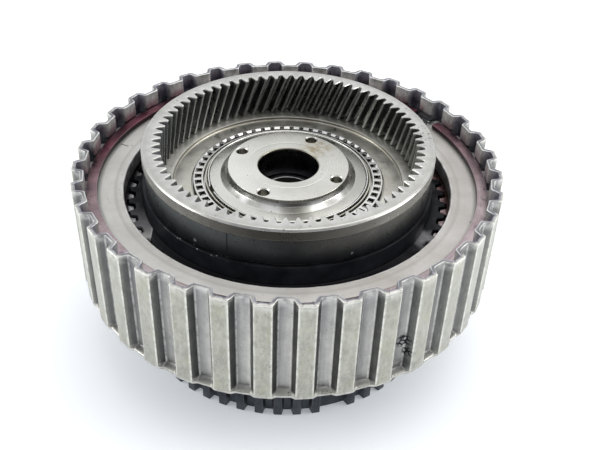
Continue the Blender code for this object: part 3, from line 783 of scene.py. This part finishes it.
# A look is (slot, material); the plain ones go on pieces that keep their CAD shape, and inside holes.
LOOKS = {
    "drum": ("drum_steel", drum_material()),
    "ground": ("plate_steel", plate_material()),
    "tempered": ("tempered_steel", tempered_material()),
    "oily": ("dark_steel", oily_material()),
    "hub": ("bright_steel", hub_material()),
    "ring": ("ring_steel", ring_gear_material()),
    "lining": ("friction_lining", lining_material()),
    "rubber": ("rubber", rubber_material()),
    # The web floor, with painted shade in a band over its step.
    "floor": ("ring_steel",
        steel("floor_steel", (0.74, 0.715, 0.635), (0.55, 0.53, 0.45), 0.26, 0.42, marks=1700,
              mark_depth=0.5, specks=0.6, stain=(0.24, 0.215, 0.16), stain_amount=0.5, edge_amount=0.5,
              dim=(0.0713, 0.0721, 0.8))),
    "plate": ("plain", steel("plate_steel", (0.55, 0.535, 0.505), (0.44, 0.425, 0.4), 0.3, 0.44, specks=0.3)),
    "dark": ("dark_steel",
        steel("dark_steel", (0.085, 0.094, 0.105), (0.03, 0.034, 0.042), 0.3, 0.5, specks=0.1,
              edge_amount=0.4, edge=(0.2, 0.21, 0.23))),
    "gear": ("gear_steel",
        steel("gear_steel", (0.34, 0.34, 0.33), (0.22, 0.22, 0.215), 0.24, 0.42, specks=0.15)),
    "bearing": ("bearing_steel",
        steel("bearing_steel", (0.8, 0.79, 0.75), (0.62, 0.61, 0.57), 0.14, 0.3, specks=0.15,
              edge_amount=0.8, edge=(0.92, 0.91, 0.88))),
    # Rollers painted dark as shade in the cage windows.
    "roller": ("bearing_steel",
        steel("roller_steel", (0.25, 0.248, 0.23), (0.14, 0.138, 0.125), 0.16, 0.3, specks=0.1,
              edge_amount=0.3)),
    # Hole walls painted dark as shade inside the holes.
    "hole": ("plain", steel("hole_steel", (0.17, 0.165, 0.15), (0.07, 0.068, 0.06), 0.35, 0.55, specks=0.2)),
    # The race painted near-black as shade under the rollers.
    "race": ("bearing_steel",
        steel("race_steel", (0.05, 0.048, 0.042), (0.015, 0.015, 0.014), 0.3, 0.5, specks=0.1,
              edge_amount=0.1)),
    "bronze": ("bronze",
        steel("bronze", (0.55, 0.38, 0.18), (0.4, 0.25, 0.11), 0.26, 0.42, specks=0.1,
              edge=(0.75, 0.58, 0.35))),
    "aluminium": ("plain", steel("aluminium", (0.6, 0.6, 0.59), (0.48, 0.48, 0.47), 0.34, 0.5, specks=0.1)),
    "spring": ("spring_steel",
        steel("spring_steel", (0.25, 0.25, 0.26), (0.14, 0.14, 0.15), 0.24, 0.4, specks=0.1)),
}


# --- drum --------------------------------------------------------------------


def quarter(steps):
    return [pi / 2 * k / steps for k in range(steps + 1)]


def rectangle(inner, outer, low, high, fillet=0.1):
    return [(inner, low, fillet), (outer, low, fillet), (outer, high, fillet), (inner, high, fillet)]


def circles(outline, corners):
    """Rows for band, from (radius, height, wear) corners: circles in step with an outline."""
    return [(circle_like(outline, radius), height, wear) for radius, height, wear in corners]


def tooth(root, tip):
    """A pattern for toothed from the root's and the tip's (radius, half width in degrees, fillet)."""
    half = [(*root, 0), (*tip, 1)]
    return [(radius, -angle, fillet, rub) for radius, angle, fillet, rub in half] + half[::-1]


def corrugated(land, valley, land_half, flank, outer_fillet, inner_fillet, hollow=0):
    """Lands and slightly hollow valleys; every outline has the same number of points."""
    pattern = [
        (valley, -land_half - flank, inner_fillet, 0.4),
        (land, -land_half, outer_fillet, 1),
        (land, EDGE_WIDTH - land_half, 0, 0),
        (land, land_half - EDGE_WIDTH, 0, 0),
        (land, land_half, outer_fillet, 1),
        (valley, land_half + flank, inner_fillet, 0.4),
        (valley - hollow, 180 / DRUM_LANDS, 2, 0),
    ]
    return toothed(pattern, DRUM_LANDS, DRUM_PHASE, steps=4)


def drum_places(points):
    """For each outline point: how near a land's edge it is, and how far across its valley, from 0 to 1."""
    pitch = 360 / DRUM_LANDS
    angle = np.degrees(np.arctan2(points[:, 1], points[:, 0])) - DRUM_PHASE
    turn = (angle + pitch / 2) % pitch - pitch / 2
    edge = np.clip((np.abs(turn) - LAND_HALF + EDGE_WIDTH) / EDGE_WIDTH, 0, 1)
    edge = np.where(np.linalg.norm(points, axis=1) > DRUM_RADIUS - 0.4, edge, 0)
    across = np.clip((angle % pitch - LAND_HALF - 1.1) / (pitch - 2 * LAND_HALF - 2.2), 0, 1)
    return edge, across


def build_drum():
    outside, rub = corrugated(DRUM_RADIUS, VALLEY, LAND_HALF, 1.1, 0.8, 1, 0.2)
    inside, _ = corrugated(DRUM_RADIUS - SHEET, VALLEY - SHEET, 1.47, 1.06, 0.5, 1)
    foot, _ = corrugated(DRUM_RADIUS, DRUM_RADIUS - 0.9, LAND_HALF, 1.1, 0.8, 1)
    low = DRUM_BOTTOM + 0.05
    floor = DRUM_BOTTOM + 2
    corner = 2.2
    flare = 1.3
    lip = 0.22
    away = np.linalg.norm(outside, axis=1)
    flank = np.where((away > VALLEY + 0.3) & (away < DRUM_RADIUS - 0.3), 1, 0)
    rows = []
    # Each row's grime and painted shade: most in the snap-ring groove and down inside the drum, some on its
    # underside and round its foot.
    grime_and_shade = []
    side = []

    def add(points, height, wear=0, row_grime_and_shade=0, flanks=0):
        rows.append((points, height, wear))
        grime_and_shade.append(row_grime_and_shade)
        side.append(flank * flanks)

    for radius, height, row_grime_and_shade in (
        (20.4, floor, 0.5), (20.4, low, 0.5), (44, low, 0.5), (45.5, low + BEAD, 0.5), (51, low + BEAD, 0.6),
        (52.5, low, 0.6), (66.3, low, 0.6),
    ):
        add(circle_like(outside, radius), height, 0, row_grime_and_shade)
    for angle in quarter(4):
        height = low + corner * (1 - cos(angle))
        add(shifted(foot, -corner * (1 - sin(angle))), height, 0.5 * sin(angle), 0.4 * cos(angle))
    for k in range(1, 8):
        share = 0.5 - 0.5 * cos(pi * k / 7)
        height = low + corner + flare * k / 7
        add(foot + (outside - foot) * share, height, rub * share * 0.6, 0.06, share ** 3)
    add(outside, DRUM_BOTTOM + 9, rub * 0.7, 0.05, 1)
    add(outside, (DRUM_BOTTOM + DRUM_TOP) / 2, rub * 0.7, 0, 1)
    add(outside, DRUM_TOP - 4, rub * 0.8, 0, 1)
    for k, angle in enumerate(quarter(3)):
        height = DRUM_TOP - lip * (1 - sin(angle))
        add(grown(outside, -lip * (1 - cos(angle))), height, (0.6, 1, 1, 0)[k], 0, 0.6 - 0.2 * k)
    outer_rows = len(rows)
    for k, angle in enumerate(quarter(3)[::-1]):
        height = DRUM_TOP - lip * (1 - sin(angle))
        add(grown(inside, lip * (1 - cos(angle))), height, (0, 1, 1, 0.3)[k], (0.25, 0.1, 0, 0.1)[k])
    radius = np.linalg.norm(inside, axis=1, keepdims=True)
    groove = inside * np.maximum(radius, VALLEY - SHEET + 0.8) / radius
    for points, height, row_grime_and_shade in (
        (inside, DRUM_TOP - 3, 0.15), (inside, GROOVE_TOP, 0.3), (groove, GROOVE_TOP, 0.8),
        (groove, GROOVE_BOTTOM, 0.8), (inside, GROOVE_BOTTOM, 0.7), (inside, floor + 4, 0.8),
        (shifted(inside, -1.2), floor + 1, 0.8), (shifted(inside, -3), floor, 0.8),
        (circle_like(inside, 60), floor, 0.8),
    ):
        add(points, height, 0, row_grime_and_shade)
    land = [np.clip((np.linalg.norm(points, axis=1) - VALLEY - 0.3) / 2.6, 0, 1) for points, _, _ in rows]
    more = {"land": np.concatenate(land), "flank": np.concatenate(side)}
    more["grime_and_shade"] = np.repeat(grime_and_shade, len(outside))
    more["edge"], more["across"] = (np.tile(values, len(rows)) for values in drum_places(outside))
    more["inner"] = np.repeat(np.arange(len(rows)) >= outer_rows, len(outside))
    settle(band("drum_shell", rows, more=more), "drum", "drum", "outer_drum")


def build_lower_hub():
    root = 60.4
    top = DRUM_BOTTOM - 0.3
    flange = top - 4
    inner = 54
    plain = round((LOWER_PLAIN_TOOTH - LOWER_PHASE) * LOWER_TEETH / 360) % LOWER_TEETH
    pattern = tooth((root, 2.05, 0.5), (63.2, 1.5, 0.45))
    teeth, rub = toothed(pattern, LOWER_TEETH, LOWER_PHASE, plain)
    rows = [(grown(teeth, -0.5 * (1 - sin(angle))), 0.5 * (1 - cos(angle)), 0.5) for angle in quarter(3)]
    rows += [(teeth, 8, rub * 0.8), (teeth, 25.4, rub * 0.8), (grown(teeth, -0.4), 26, 0.6)]
    rows += circles(teeth, [
        (root - 0.05, 26.2, 0), (root, flange - 1.2, 0), (root + 1.2, flange, 0), (65.6, flange, 0.5),
        (66, flange + 0.4, 1), (66, top - 0.4, 0.6), (65.6, top, 0.4), (inner + 0.4, top, 0.3),
        (inner, top - 0.4, 0.3), (inner, 1, 0.2), (inner + 1, 0, 0.7),
    ])
    settle(band("toothed_hub", rows), "drum", "dark", "lower_toothed_hub")


def build_drum_hub():
    top = DRUM_BOTTOM - 0.3
    profile = [(12.3, 22, 0.5), (20, 22, 0.8), (20, 29.2, 1), (28, 29.2, 0.8),
               (28, top, 0.3), (20, top, 0.2), (20, 39.7, 0.5), (12.3, 39.7, 0.5)]
    settle(lathe("drum_hub_turned", profile, 128), "drum", "dark", "drum_hub")
    bush = [(10, 23, 0.4), (12, 23, 0.3), (12, 39, 0.3), (10, 39, 0.4)]
    settle(lathe("drum_hub_bush_turned", bush, 96), "drum", "bronze", "drum_hub_bush")


# --- clutch ------------------------------------------------------------------


def plate(name, outer, outer_rub, inner, inner_rub, bottom, top, rings, edge=0.25):
    """A flat ring between two equally long outlines; rings are (radius, height) circles on its top face."""
    rows = [(grown(inner, edge), bottom, 0.3)]
    rows += circles(inner, [(rings[-1][0], bottom, 0)]) + circles(outer, [(rings[0][0], bottom, 0)])
    rows += [(grown(outer, -edge), bottom, 0.4), (outer, bottom + edge, outer_rub)]
    rows += [(outer, top - edge, outer_rub), (grown(outer, -edge), top, 0.3)]
    rows += circles(outer, [(radius, top + drop, 0) for radius, drop in rings])
    rows += [(grown(inner, edge), top, 0.8), (inner, top - edge, inner_rub + 0.6)]
    return band(name, rows + [(inner, bottom + edge, inner_rub)])


def build_lugged_plate(node, inner_radius, bottom, top):
    lugs, rub = toothed(tooth((79.7, 2.1, 0.8), (83.1, 1.1, 0.4)), DRUM_LANDS, DRUM_PHASE)
    rings = [(78.9, -0.06), (75.6, -0.05), (74.9, 0), (inner_radius + 1, 0)]
    piece = plate(f"{node}_softened", lugs, rub, circle_like(lugs, inner_radius), 0, bottom, top, rings)
    settle(piece, "drum", "ground", node)


def build_friction_plate(node, bottom, top):
    """A steel core whose inner teeth stand free of the lining on its two faces."""
    teeth, rub = toothed(tooth((65, 2.2, 0.5), (62.3, 0.9, 0.5)), SPLINES, SPLINE_PHASE + 180 / SPLINES)
    low = (bottom + top) / 2 - 0.6
    high = (bottom + top) / 2 + 0.6
    core = plate("core", circle_like(teeth, 76.5), 0, teeth, rub, low, high, [(76, 0), (66, 0)], 0.2)
    faces = [lathe("face", rectangle(67, 76.3, *span), 128, 2) for span in ((bottom, low), (high, top))]
    settle(joined(f"{node}_lined", [core] + faces), "carrier", "lining", node)


def arc_sweep(name, section, radius_at, height, start, sweep, steps):
    """Sweep a closed section (x outward, z up, wear) along an arc; the ends are capped."""
    count = len(section)
    points = []
    for i in range(steps + 1):
        t = i / steps
        angle = radians(start + sweep * t)
        for out, up, _ in section:
            radius = radius_at(t) + out
            points.append((radius * cos(angle), radius * sin(angle), height + up))
    faces = []
    for a in range(0, steps * count, count):
        for k in range(count):
            m = (k + 1) % count
            faces.append((a + k, a + count + k, a + count + m, a + m))
    faces.append(tuple(range(count)))
    faces.append(tuple(range(steps * count + count - 1, steps * count - 1, -1)))
    return mesh_from(name, points, faces, 40, {"wear": [rub for _, _, rub in section] * (steps + 1)})


def build_return_spring():
    """A wave spring of five waves; in the clutch it flattens against its retainer as the piston rises."""
    count = 240
    angle = np.arange(count) * 2 * pi / count
    middle = 45.25 + 1.85 * np.cos(5 * angle)
    section = softened(rectangle(61, 66, -0.4, 0.4, 0.12))
    rows = [(even_circle(radius, count), middle + rise, rub) for radius, rise, rub in section]
    piece = settle(band("return_spring_wave", rows), "drum", "spring", "return_spring")
    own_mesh(piece)


def build_snap_ring():
    gap = 9.5
    section = softened(rectangle(-2, 2, -1, 1, 0.12), 2)
    piece = arc_sweep("snap_ring", section, lambda t: 77.8, 72.1, 38 + gap / 2, 360 - gap, 240)
    settle(piece, "drum", "tempered", "clutch_snap_ring")


# --- teeth -------------------------------------------------------------------


def involute(angle):
    return tan(angle) - angle


def half_angle(radius, pitch_radius, teeth, share):
    base = pitch_radius * cos(radians(PRESSURE))
    at = np.arccos(min(1, base / radius))
    return share * 180 / teeth + (involute(radians(PRESSURE)) - involute(at)) * 180 / pi


def gear_teeth(teeth, pitch_radius, root, tip, phase, inside=False, share=0.43, flank=5):
    """One closed outline of involute teeth: root fillet, flank, softened tip."""
    pattern = []
    for i, radius in enumerate(np.linspace(root, tip, flank)):
        angle = half_angle(radius, pitch_radius, teeth, 1 - share if inside else share)
        angle = 180 / teeth - angle if inside else angle
        pattern.append((radius, angle, 0.28 if i in (0, flank - 1) else 0, float(i == flank - 1)))
    left = [(radius, -angle, fillet, rub) for radius, angle, fillet, rub in pattern]
    corners = []
    for i in range(teeth):
        for radius, angle, fillet, rub in left + pattern[::-1]:
            corners.append((*spot(radius, phase + 360 * i / teeth + angle), fillet, rub))
    points = []
    wear = []
    for i, (x, y, fillet, rub) in enumerate(corners):
        if fillet:
            part, part_wear = rounded((corners[i - 1], corners[i], corners[(i + 1) % len(corners)]), 2)
            points += list(part[3:6])
            wear += list(part_wear[3:6])
        else:
            points.append(np.array((x, y)))
            wear.append(0)
    return np.array(points), np.array(wear)


def twist_rate(helix, pitch_radius):
    """Degrees that a helical tooth turns in a millimetre of height."""
    return tan(radians(helix)) / pitch_radius * 180 / pi


def build_front_ring_gear():
    root = 53.4
    teeth_bottom = 72.6
    chamfer = 0.2
    phase = RING_PHASE + 180 / RING_TEETH
    outline, rub = gear_teeth(RING_TEETH, RING_PITCH_RADIUS, root, 50.2, phase, inside=True, share=0.47)
    outline = outline[::-1]
    rub = rub[::-1]
    twist = twist_rate(RING_HELIX, RING_PITCH_RADIUS)
    low = RING_TOP - chamfer
    rows = [(spun(grown(outline[::-1], chamfer)[::-1], 0), RING_TOP, 0.8)]
    for k in range(13):
        height = low - (low - teeth_bottom) * k / 12
        wear = rub * 0.8 if k else np.maximum(rub, 0.5)
        rows.append((spun(outline, twist * (height - RING_TOP)), height, wear))
    rows += circles(rows[-1][0], [(root + 0.3, teeth_bottom, 0), (root + 0.3, RING_BOTTOM, 0.2)])
    rim = circle_like(outline, RING_RADIUS)
    shoulder = 73.3
    for inset, height, wear in (
        (2, RING_BOTTOM, 0.3), (1.6, RING_BOTTOM + 0.4, 0.3), (1.6, shoulder, 0), (0.9, shoulder, 0.3),
        (0.6, shoulder + 0.35, 0.15), (0.6, shoulder + 0.7, 0), (0.6, 84.3, 0), (0.1, 84.6, 0.1),
        (0, 84.8, 0.35), (0, 85.1, 0), (0, RING_TOP - 1, 0), (0, RING_TOP - 0.75, 0.3),
        (0.08, RING_TOP - 0.6, 0.5), (0.6, RING_TOP - 0.08, 0.2), (0.75, RING_TOP, 0.35), (1, RING_TOP, 0),
    ):
        rows.append((rim * (RING_RADIUS - inset) / RING_RADIUS, height, wear))
    settle(band("ring_gear_front", rows), "carrier", "ring", "front_ring_gear")


def moved(piece, place):
    piece.data.transform(Matrix.Translation((place[0] * MM, place[1] * MM, 0)))
    return piece


def external_gear(name, teeth, pitch_radius, phase, twist, bore, place=(0, 0)):
    root = pitch_radius - DEDENDUM
    outline, rub = gear_teeth(teeth, pitch_radius, root, pitch_radius + ADDENDUM, phase)
    bottom, top = GEAR_BOTTOM, GEAR_TOP
    edge = 0.35
    steps = 8
    face = pitch_radius - 1.6 * MODULE
    rows = circles(outline, [(bore + 0.4, bottom, 0.3), (face, bottom, 0)])
    rows.append((grown(outline, -edge), bottom, 0.6))
    for k in range(steps + 1):
        height = bottom + edge + (top - bottom - 2 * edge) * k / steps
        rows.append((spun(outline, twist * (height - bottom)), height, rub * 0.7))
    turned_top = spun(outline, twist * (top - bottom))
    rows.append((grown(turned_top, -edge), top, 0.6))
    rows += circles(turned_top, [(face, top, 0), (bore + 0.4, top, 0.3), (bore, top - 0.4, 0.3)])
    rows += circles(outline, [(bore, bottom + 0.4, 0.3)])
    return moved(band(name, rows), place)


def build_planets():
    twist = twist_rate(HELIX, PLANET_PITCH)
    for i in range(4):
        angle = PLANET_START + 90 * i
        body = f"planet_{i + 1}"
        place = spot(CENTRE_DISTANCE, angle)
        gear = external_gear(f"{body}_teeth", PLANET_TEETH, PLANET_PITCH, angle, twist, 7, place)
        settle(gear, body, "gear", f"planet_gear_{i + 1}")
        profile = [(0.01, 41.3, 0.2), (0.66, 41.5, 0.2), (0.66, 57.7, 0.2), (0.01, 57.9, 0.2)]
        needles = [moved(turned("needle", profile, 12), place + spot(5.7, 360 * k / 16)) for k in range(16)]
        settle(joined(f"{body}_needles", needles), body, "bearing", f"planet_bush_{i + 1}")


def build_sun():
    twist = -twist_rate(HELIX, SUN_PITCH)
    gear = external_gear("sun_teeth", SUN_TEETH, SUN_PITCH, PLANET_START + 180 / SUN_TEETH, twist, 12.1)
    settle(gear, "sun", "gear", "sun_gear")
    profile = [(9.8, GEAR_BOTTOM, 0.4), (11.8, GEAR_BOTTOM, 0.3), (11.8, 65, 0.35), (9.8, 65, 0.5)]
    settle(lathe("sun_sleeve", profile, 128), "sun", "gear", "sun_shaft")


def build_rear_ring_gear():
    bottom = DRUM_BOTTOM + 2.3
    top = 59
    root = REAR_RING_PITCH + DEDENDUM
    phase = PLANET_START + 180 / REAR_RING_TEETH
    tip = REAR_RING_PITCH - ADDENDUM
    outline, rub = gear_teeth(REAR_RING_TEETH, REAR_RING_PITCH, root, tip, phase, inside=True)
    twist = twist_rate(HELIX, REAR_RING_PITCH)
    rows = []
    for k in range(9):
        height = top - (top - GEAR_BOTTOM) * k / 8
        rows.append((spun(outline, twist * (height - GEAR_BOTTOM))[::-1], height, rub[::-1] * 0.7))
    rows += circles(outline[::-1], [
        (root + 0.3, GEAR_BOTTOM, 0.2), (root + 0.3, bottom, 0.2), (57, bottom, 0.2),
        (57.4, bottom + 0.4, 0.2), (57.4, 49.6, 0.2), (56.5, 49.6, 0.2), (56.5, 51.1, 0.2),
        (57.4, 51.1, 0.2), (57.4, top - 0.4, 0.2), (57, top, 0.2),
    ])
    settle(band("ring_gear_rear", rows), "drum", "gear", "rear_ring_gear")


# --- carrier -----------------------------------------------------------------


def build_web():
    profile = [
        (32.8, 68, 0.4), (53.4, 68, 0.5), (53.4, 72.3, 0), (46.6, 72.3, 0), (46.25, 72.15, 0.1),
        (46, FLOOR_TOP, 0), (39, FLOOR_TOP, 0.1), (38.9, 70.9, 0), (38.9, 70, 0), (33.4, 70, 0),
        (33.4, 72.9, 0.1), (32.8, 72.9, 0.1),
    ]
    settle(lathe("web_disc", profile, 256), "carrier", "floor", "ring_gear_web")
    settle(lathe("race", rectangle(34.2, 38.5, 70.3, 70.8)), "carrier", "race", "bearing_race")


def build_wire_ring():
    """The round wire that holds the web; one end is bent outward as a hook."""
    wire = 0.38
    gap = 7
    hook = 0.018
    bend = 0.55
    section = [(wire * cos(2 * pi * k / 12), wire * sin(2 * pi * k / 12), 0.3) for k in range(12)]

    def radius_at(t):
        return 32.1 + bend * max(0, 1 - (1 - t) / hook) ** 2

    piece = arc_sweep("wire_ring", section, radius_at, 73.45, -157.1 + gap / 2, 360 - gap, 300)
    settle(piece, "carrier", "bearing", "web_retaining_ring")


def build_carrier_hub():
    """Flange with four countersunk holes, a fillet down to its foot and a faint sunk ring."""
    profile = [
        (HUB_BORE, 63.9, 0.4), (36, 63.9, 0.4), (36, 67.7, 0.3), (31.55, 67.7, 0.2), (31.55, 73.6, 0.3),
        (27.25, 73.72, 0.15), (25.3, 75.3, 1.2), (24.6, 76.4, 0.3), (HUB_RADIUS, 76.75, 0.1),
        (HUB_RADIUS, HUB_TOP - 0.16, 0.05), (HUB_RADIUS - 0.16, HUB_TOP, 0.05), (16.7, HUB_TOP, 0.1),
        (16.5, HUB_TOP - 0.05, 0.1), (16.1, HUB_TOP - 0.05, 0.1), (15.9, HUB_TOP, 0.1),
        (HUB_BORE + 0.35, HUB_TOP, 0.1), (HUB_BORE, HUB_TOP - 0.35, 0.1),
    ]
    bore = HUB_HOLE_RADIUS
    outline = [(0, 68.7), (2.1, 69.4), (bore, 69.6), (bore, 77.3), (2.9, 77.9), (0, 77.9)]
    piece = lathe("hub_flange", profile, 256, 2)
    cut(piece, [drill(outline, spot(HUB_HOLE_CIRCLE, HUB_HOLE_PHASE + 90 * i)) for i in range(4)])
    settle(piece, "carrier", "hub", "carrier_hub")


def drill(outline, place, sides=32):
    """A closed turned cutter from (radius, height) points, bottom to top, whose ends lie on its own axis."""
    points = [(0, 0, outline[0][1])]
    for radius, height in outline[1:-1]:
        points += [(*spot(radius, 360 * k / sides), height) for k in range(sides)]
    points.append((0, 0, outline[-1][1]))
    last = len(points) - 1 - sides
    faces = []
    for k in range(sides):
        m = (k + 1) % sides
        faces.append((0, 1 + m, 1 + k))
        faces += [(a + k, a + m, a + sides + m, a + sides + k) for a in range(1, last, sides)]
        faces.append((last + k, last + m, len(points) - 1))
    tool = moved(mesh_from("hole", points, faces), place)
    tool.data.materials.append(LOOKS["hole"][1])
    return tool


def build_clutch_hub():
    bottom = 53.5
    shoulder = 64.8
    top = 73
    splines, rub = toothed(tooth((61.9, 2.2, 0.5), (64.4, 1.4, 0.5)), SPLINES, SPLINE_PHASE)
    edge = 0.4
    rows = [
        (grown(splines, -edge), bottom, 0.4), (splines, bottom + edge, rub),
        (splines, shoulder - edge, rub), (grown(splines, -edge), shoulder, 0.6),
    ]
    rows += circles(splines, [
        (59.4, shoulder, 0), (58.5, shoulder + 0.5, 0), (58.2, shoulder + 1.4, 0), (58.2, top - 0.15, 0),
        (58.05, top, 0.05), (56.6, top, 0), (56.3, top - 0.3, 0), (56.3, 63.4, 0), (58.4, 63.4, 0),
        (58.4, bottom + 0.4, 0), (58.8, bottom, 0.2),
    ])
    settle(band("clutch_hub_splined", rows), "carrier", "oily", "clutch_hub")


def build_thrust_bearing():
    """Two rims joined by sunk bars, with a separate roller in every window."""
    inner = 34.3
    outer = 38.2
    rim = 0.62
    low = FLOOR_TOP
    high = 72.65
    spans = ((inner, inner + rim), (outer - rim, outer))
    rings = [lathe("rim", rectangle(*span, low, high), 220, 2) for span in spans]
    bars = []
    pitch = 360 / ROLLERS
    half = pitch * 0.165
    width = pitch - 2 * half
    section = softened(rectangle(inner + rim - 0.2, outer - rim + 0.2, low + 0.1, high - 0.02), 1)
    ramp = softened([(outer - rim - 0.75, low + 0.1, 0), (outer - rim + 0.1, low + 0.1, 0),
                     (outer - rim + 0.1, high - 0.1, 0), (outer - rim - 0.75, high - 0.85, 0)], 1)
    for i in range(ROLLERS):
        bars.append(arc_sweep("bar", section, lambda t: 0, 0, pitch * (i + 0.5) - half, 2 * half, 3))
        start = pitch * (i + 1) - width * 0.42
        bars.append(arc_sweep("ramp", ramp, lambda t: 0, 0, start, width * 0.84, 3))
    settle(joined("bearing_cage", rings + bars), "thrust_bearing", "bearing", "thrust_bearing")
    rollers = []
    radius = 0.5
    end = (outer - inner - 2 * rim - 0.9) / 2
    profile = [(0.01, -end, 0.2), (radius - 0.12, -end, 0.2), (radius, -end + 0.15, 0.2),
               (radius, end - 0.15, 0.2), (radius - 0.12, end, 0.2), (0.01, end, 0.2)]
    shift = Matrix.Translation((((inner + outer) / 2 - 0.38) * MM, 0, (low + radius) * MM))
    for i in range(ROLLERS):
        roller = turned("roller", profile, 16)
        turn = Matrix.Rotation(radians(pitch * i), 4, "Z")
        roller.data.transform(turn @ shift @ Matrix.Rotation(radians(90), 4, "Y"))
        rollers.append(roller)
    settle(joined("bearing_rollers", rollers), "thrust_bearing", "roller")


def build_plain_parts():
    """The sealed inner pieces keep their CAD shape and get their metal, rubber or bronze."""
    looks = {
        "bronze": ["sun_lower_washer", "sun_upper_washer"],
        "aluminium": ["piston_cylinder", "clutch_piston"],
        "plate": ["spring_retainer"],
        "spring": ["retainer_snap_ring"],
        "gear": ["planet_carrier", "carrier_end_plate"],
        "rubber": ["piston_outer_seal", "piston_inner_seal"],
    }
    for i in range(1, 5):
        looks["gear"].append(f"planet_pin_{i}")
        looks["bronze"] += [f"planet_upper_washer_{i}", f"planet_lower_washer_{i}"]
    for look, nodes in looks.items():
        for node in nodes:
            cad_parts[node].data.materials.clear()
            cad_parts[node].data.materials.append(LOOKS[look][1])


# --- stage -------------------------------------------------------------------


def build_camera():
    """A view from the front and above, turned a little about its own axis."""
    data = bpy.data.cameras.new("camera")
    data.sensor_width = 36
    data.lens = 51.37
    data.clip_start = 0.01
    camera = added("camera", data)
    pan, tilt, roll = radians(1.115), radians(37.90), radians(2.084)
    ahead = Vector((sin(pan) * cos(tilt), cos(pan) * cos(tilt), -sin(tilt)))
    level_right = ahead.cross(Vector((0, 0, 1))).normalized()
    level_up = level_right.cross(ahead)
    right = level_right * cos(roll) + level_up * sin(roll)
    up = level_up * cos(roll) - level_right * sin(roll)
    place = Vector((0, -285.8, 269.7)) * MM
    camera.matrix_world = Matrix((
        (right.x, up.x, -ahead.x, place.x),
        (right.y, up.y, -ahead.y, place.y),
        (right.z, up.z, -ahead.z, place.z),
        (0, 0, 0, 1),
    ))
    bpy.context.scene.camera = camera


def build_floor():
    bpy.ops.mesh.primitive_plane_add(size=80)
    floor = bpy.context.object
    floor.name = "floor"
    tree = new_look("floor")
    tree.colour = (0.86, 0.87, 0.88)
    floor.data.materials.append(tree.finish(0.6, metallic=0))
    tree.set("Emission Color", (0.9, 0.96, 1))
    tree.set("Emission Strength", 0.24)


def area_light(name, place, target, size, power, colour=(1, 1, 1)):
    data = bpy.data.lights.new(name, "AREA")
    data.shape = "RECTANGLE"
    data.size, data.size_y = size
    data.energy = power
    data.color = colour
    lamp = added(name, data)
    lamp.location = place
    lamp.rotation_euler = (Vector(target) - Vector(place)).to_track_quat("-Z", "Y").to_euler()


def build_light():
    """A white studio, bright above and along the skyline, dimmer on the viewer's side, with three lamps."""
    world = bpy.data.worlds.new("studio")
    bpy.context.scene.world = world
    sky = Tree(world, "Generated")
    white = sky.highest(Field(sky, sky.parts["Y"]).ramp(-0.75, 0.1), sky.height.fall(0.04, 0.1))
    sky.set("Color", sky.mix(white, (0.335, 0.345, 0.37), (0.94, 0.96, 1)))
    sky.set("Strength", 1.08)
    middle = (0, 0, 0.06)
    area_light("key", (0.3, 0.12, 1.2), middle, (1.4, 1.2), 5, (1, 0.985, 0.96))
    area_light("left", (-1.1, -0.1, 0.5), middle, (0.6, 0.6), 5)
    area_light("right", (1, -0.1, 0.5), middle, (0.5, 0.5), 4.2)
    view = bpy.context.scene.view_settings
    view.view_transform = "Standard"
    view.look = "None"


def main():
    build_camera()
    build_drum()
    build_lower_hub()
    build_drum_hub()
    build_lugged_plate("backing_plate", 65.7, 64.6, PLATE_TOP)
    build_lugged_plate("steel_plate_1", 66, 60.2, 62)
    build_lugged_plate("steel_plate_2", 66, 55.8, 57.6)
    build_friction_plate("friction_plate_1", 62.3, 64.3)
    build_friction_plate("friction_plate_2", 57.9, 59.9)
    build_return_spring()
    build_snap_ring()
    build_front_ring_gear()
    build_web()
    build_wire_ring()
    build_carrier_hub()
    build_clutch_hub()
    build_thrust_bearing()
    build_planets()
    build_sun()
    build_rear_ring_gear()
    build_plain_parts()
    build_floor()
    build_light()


main()
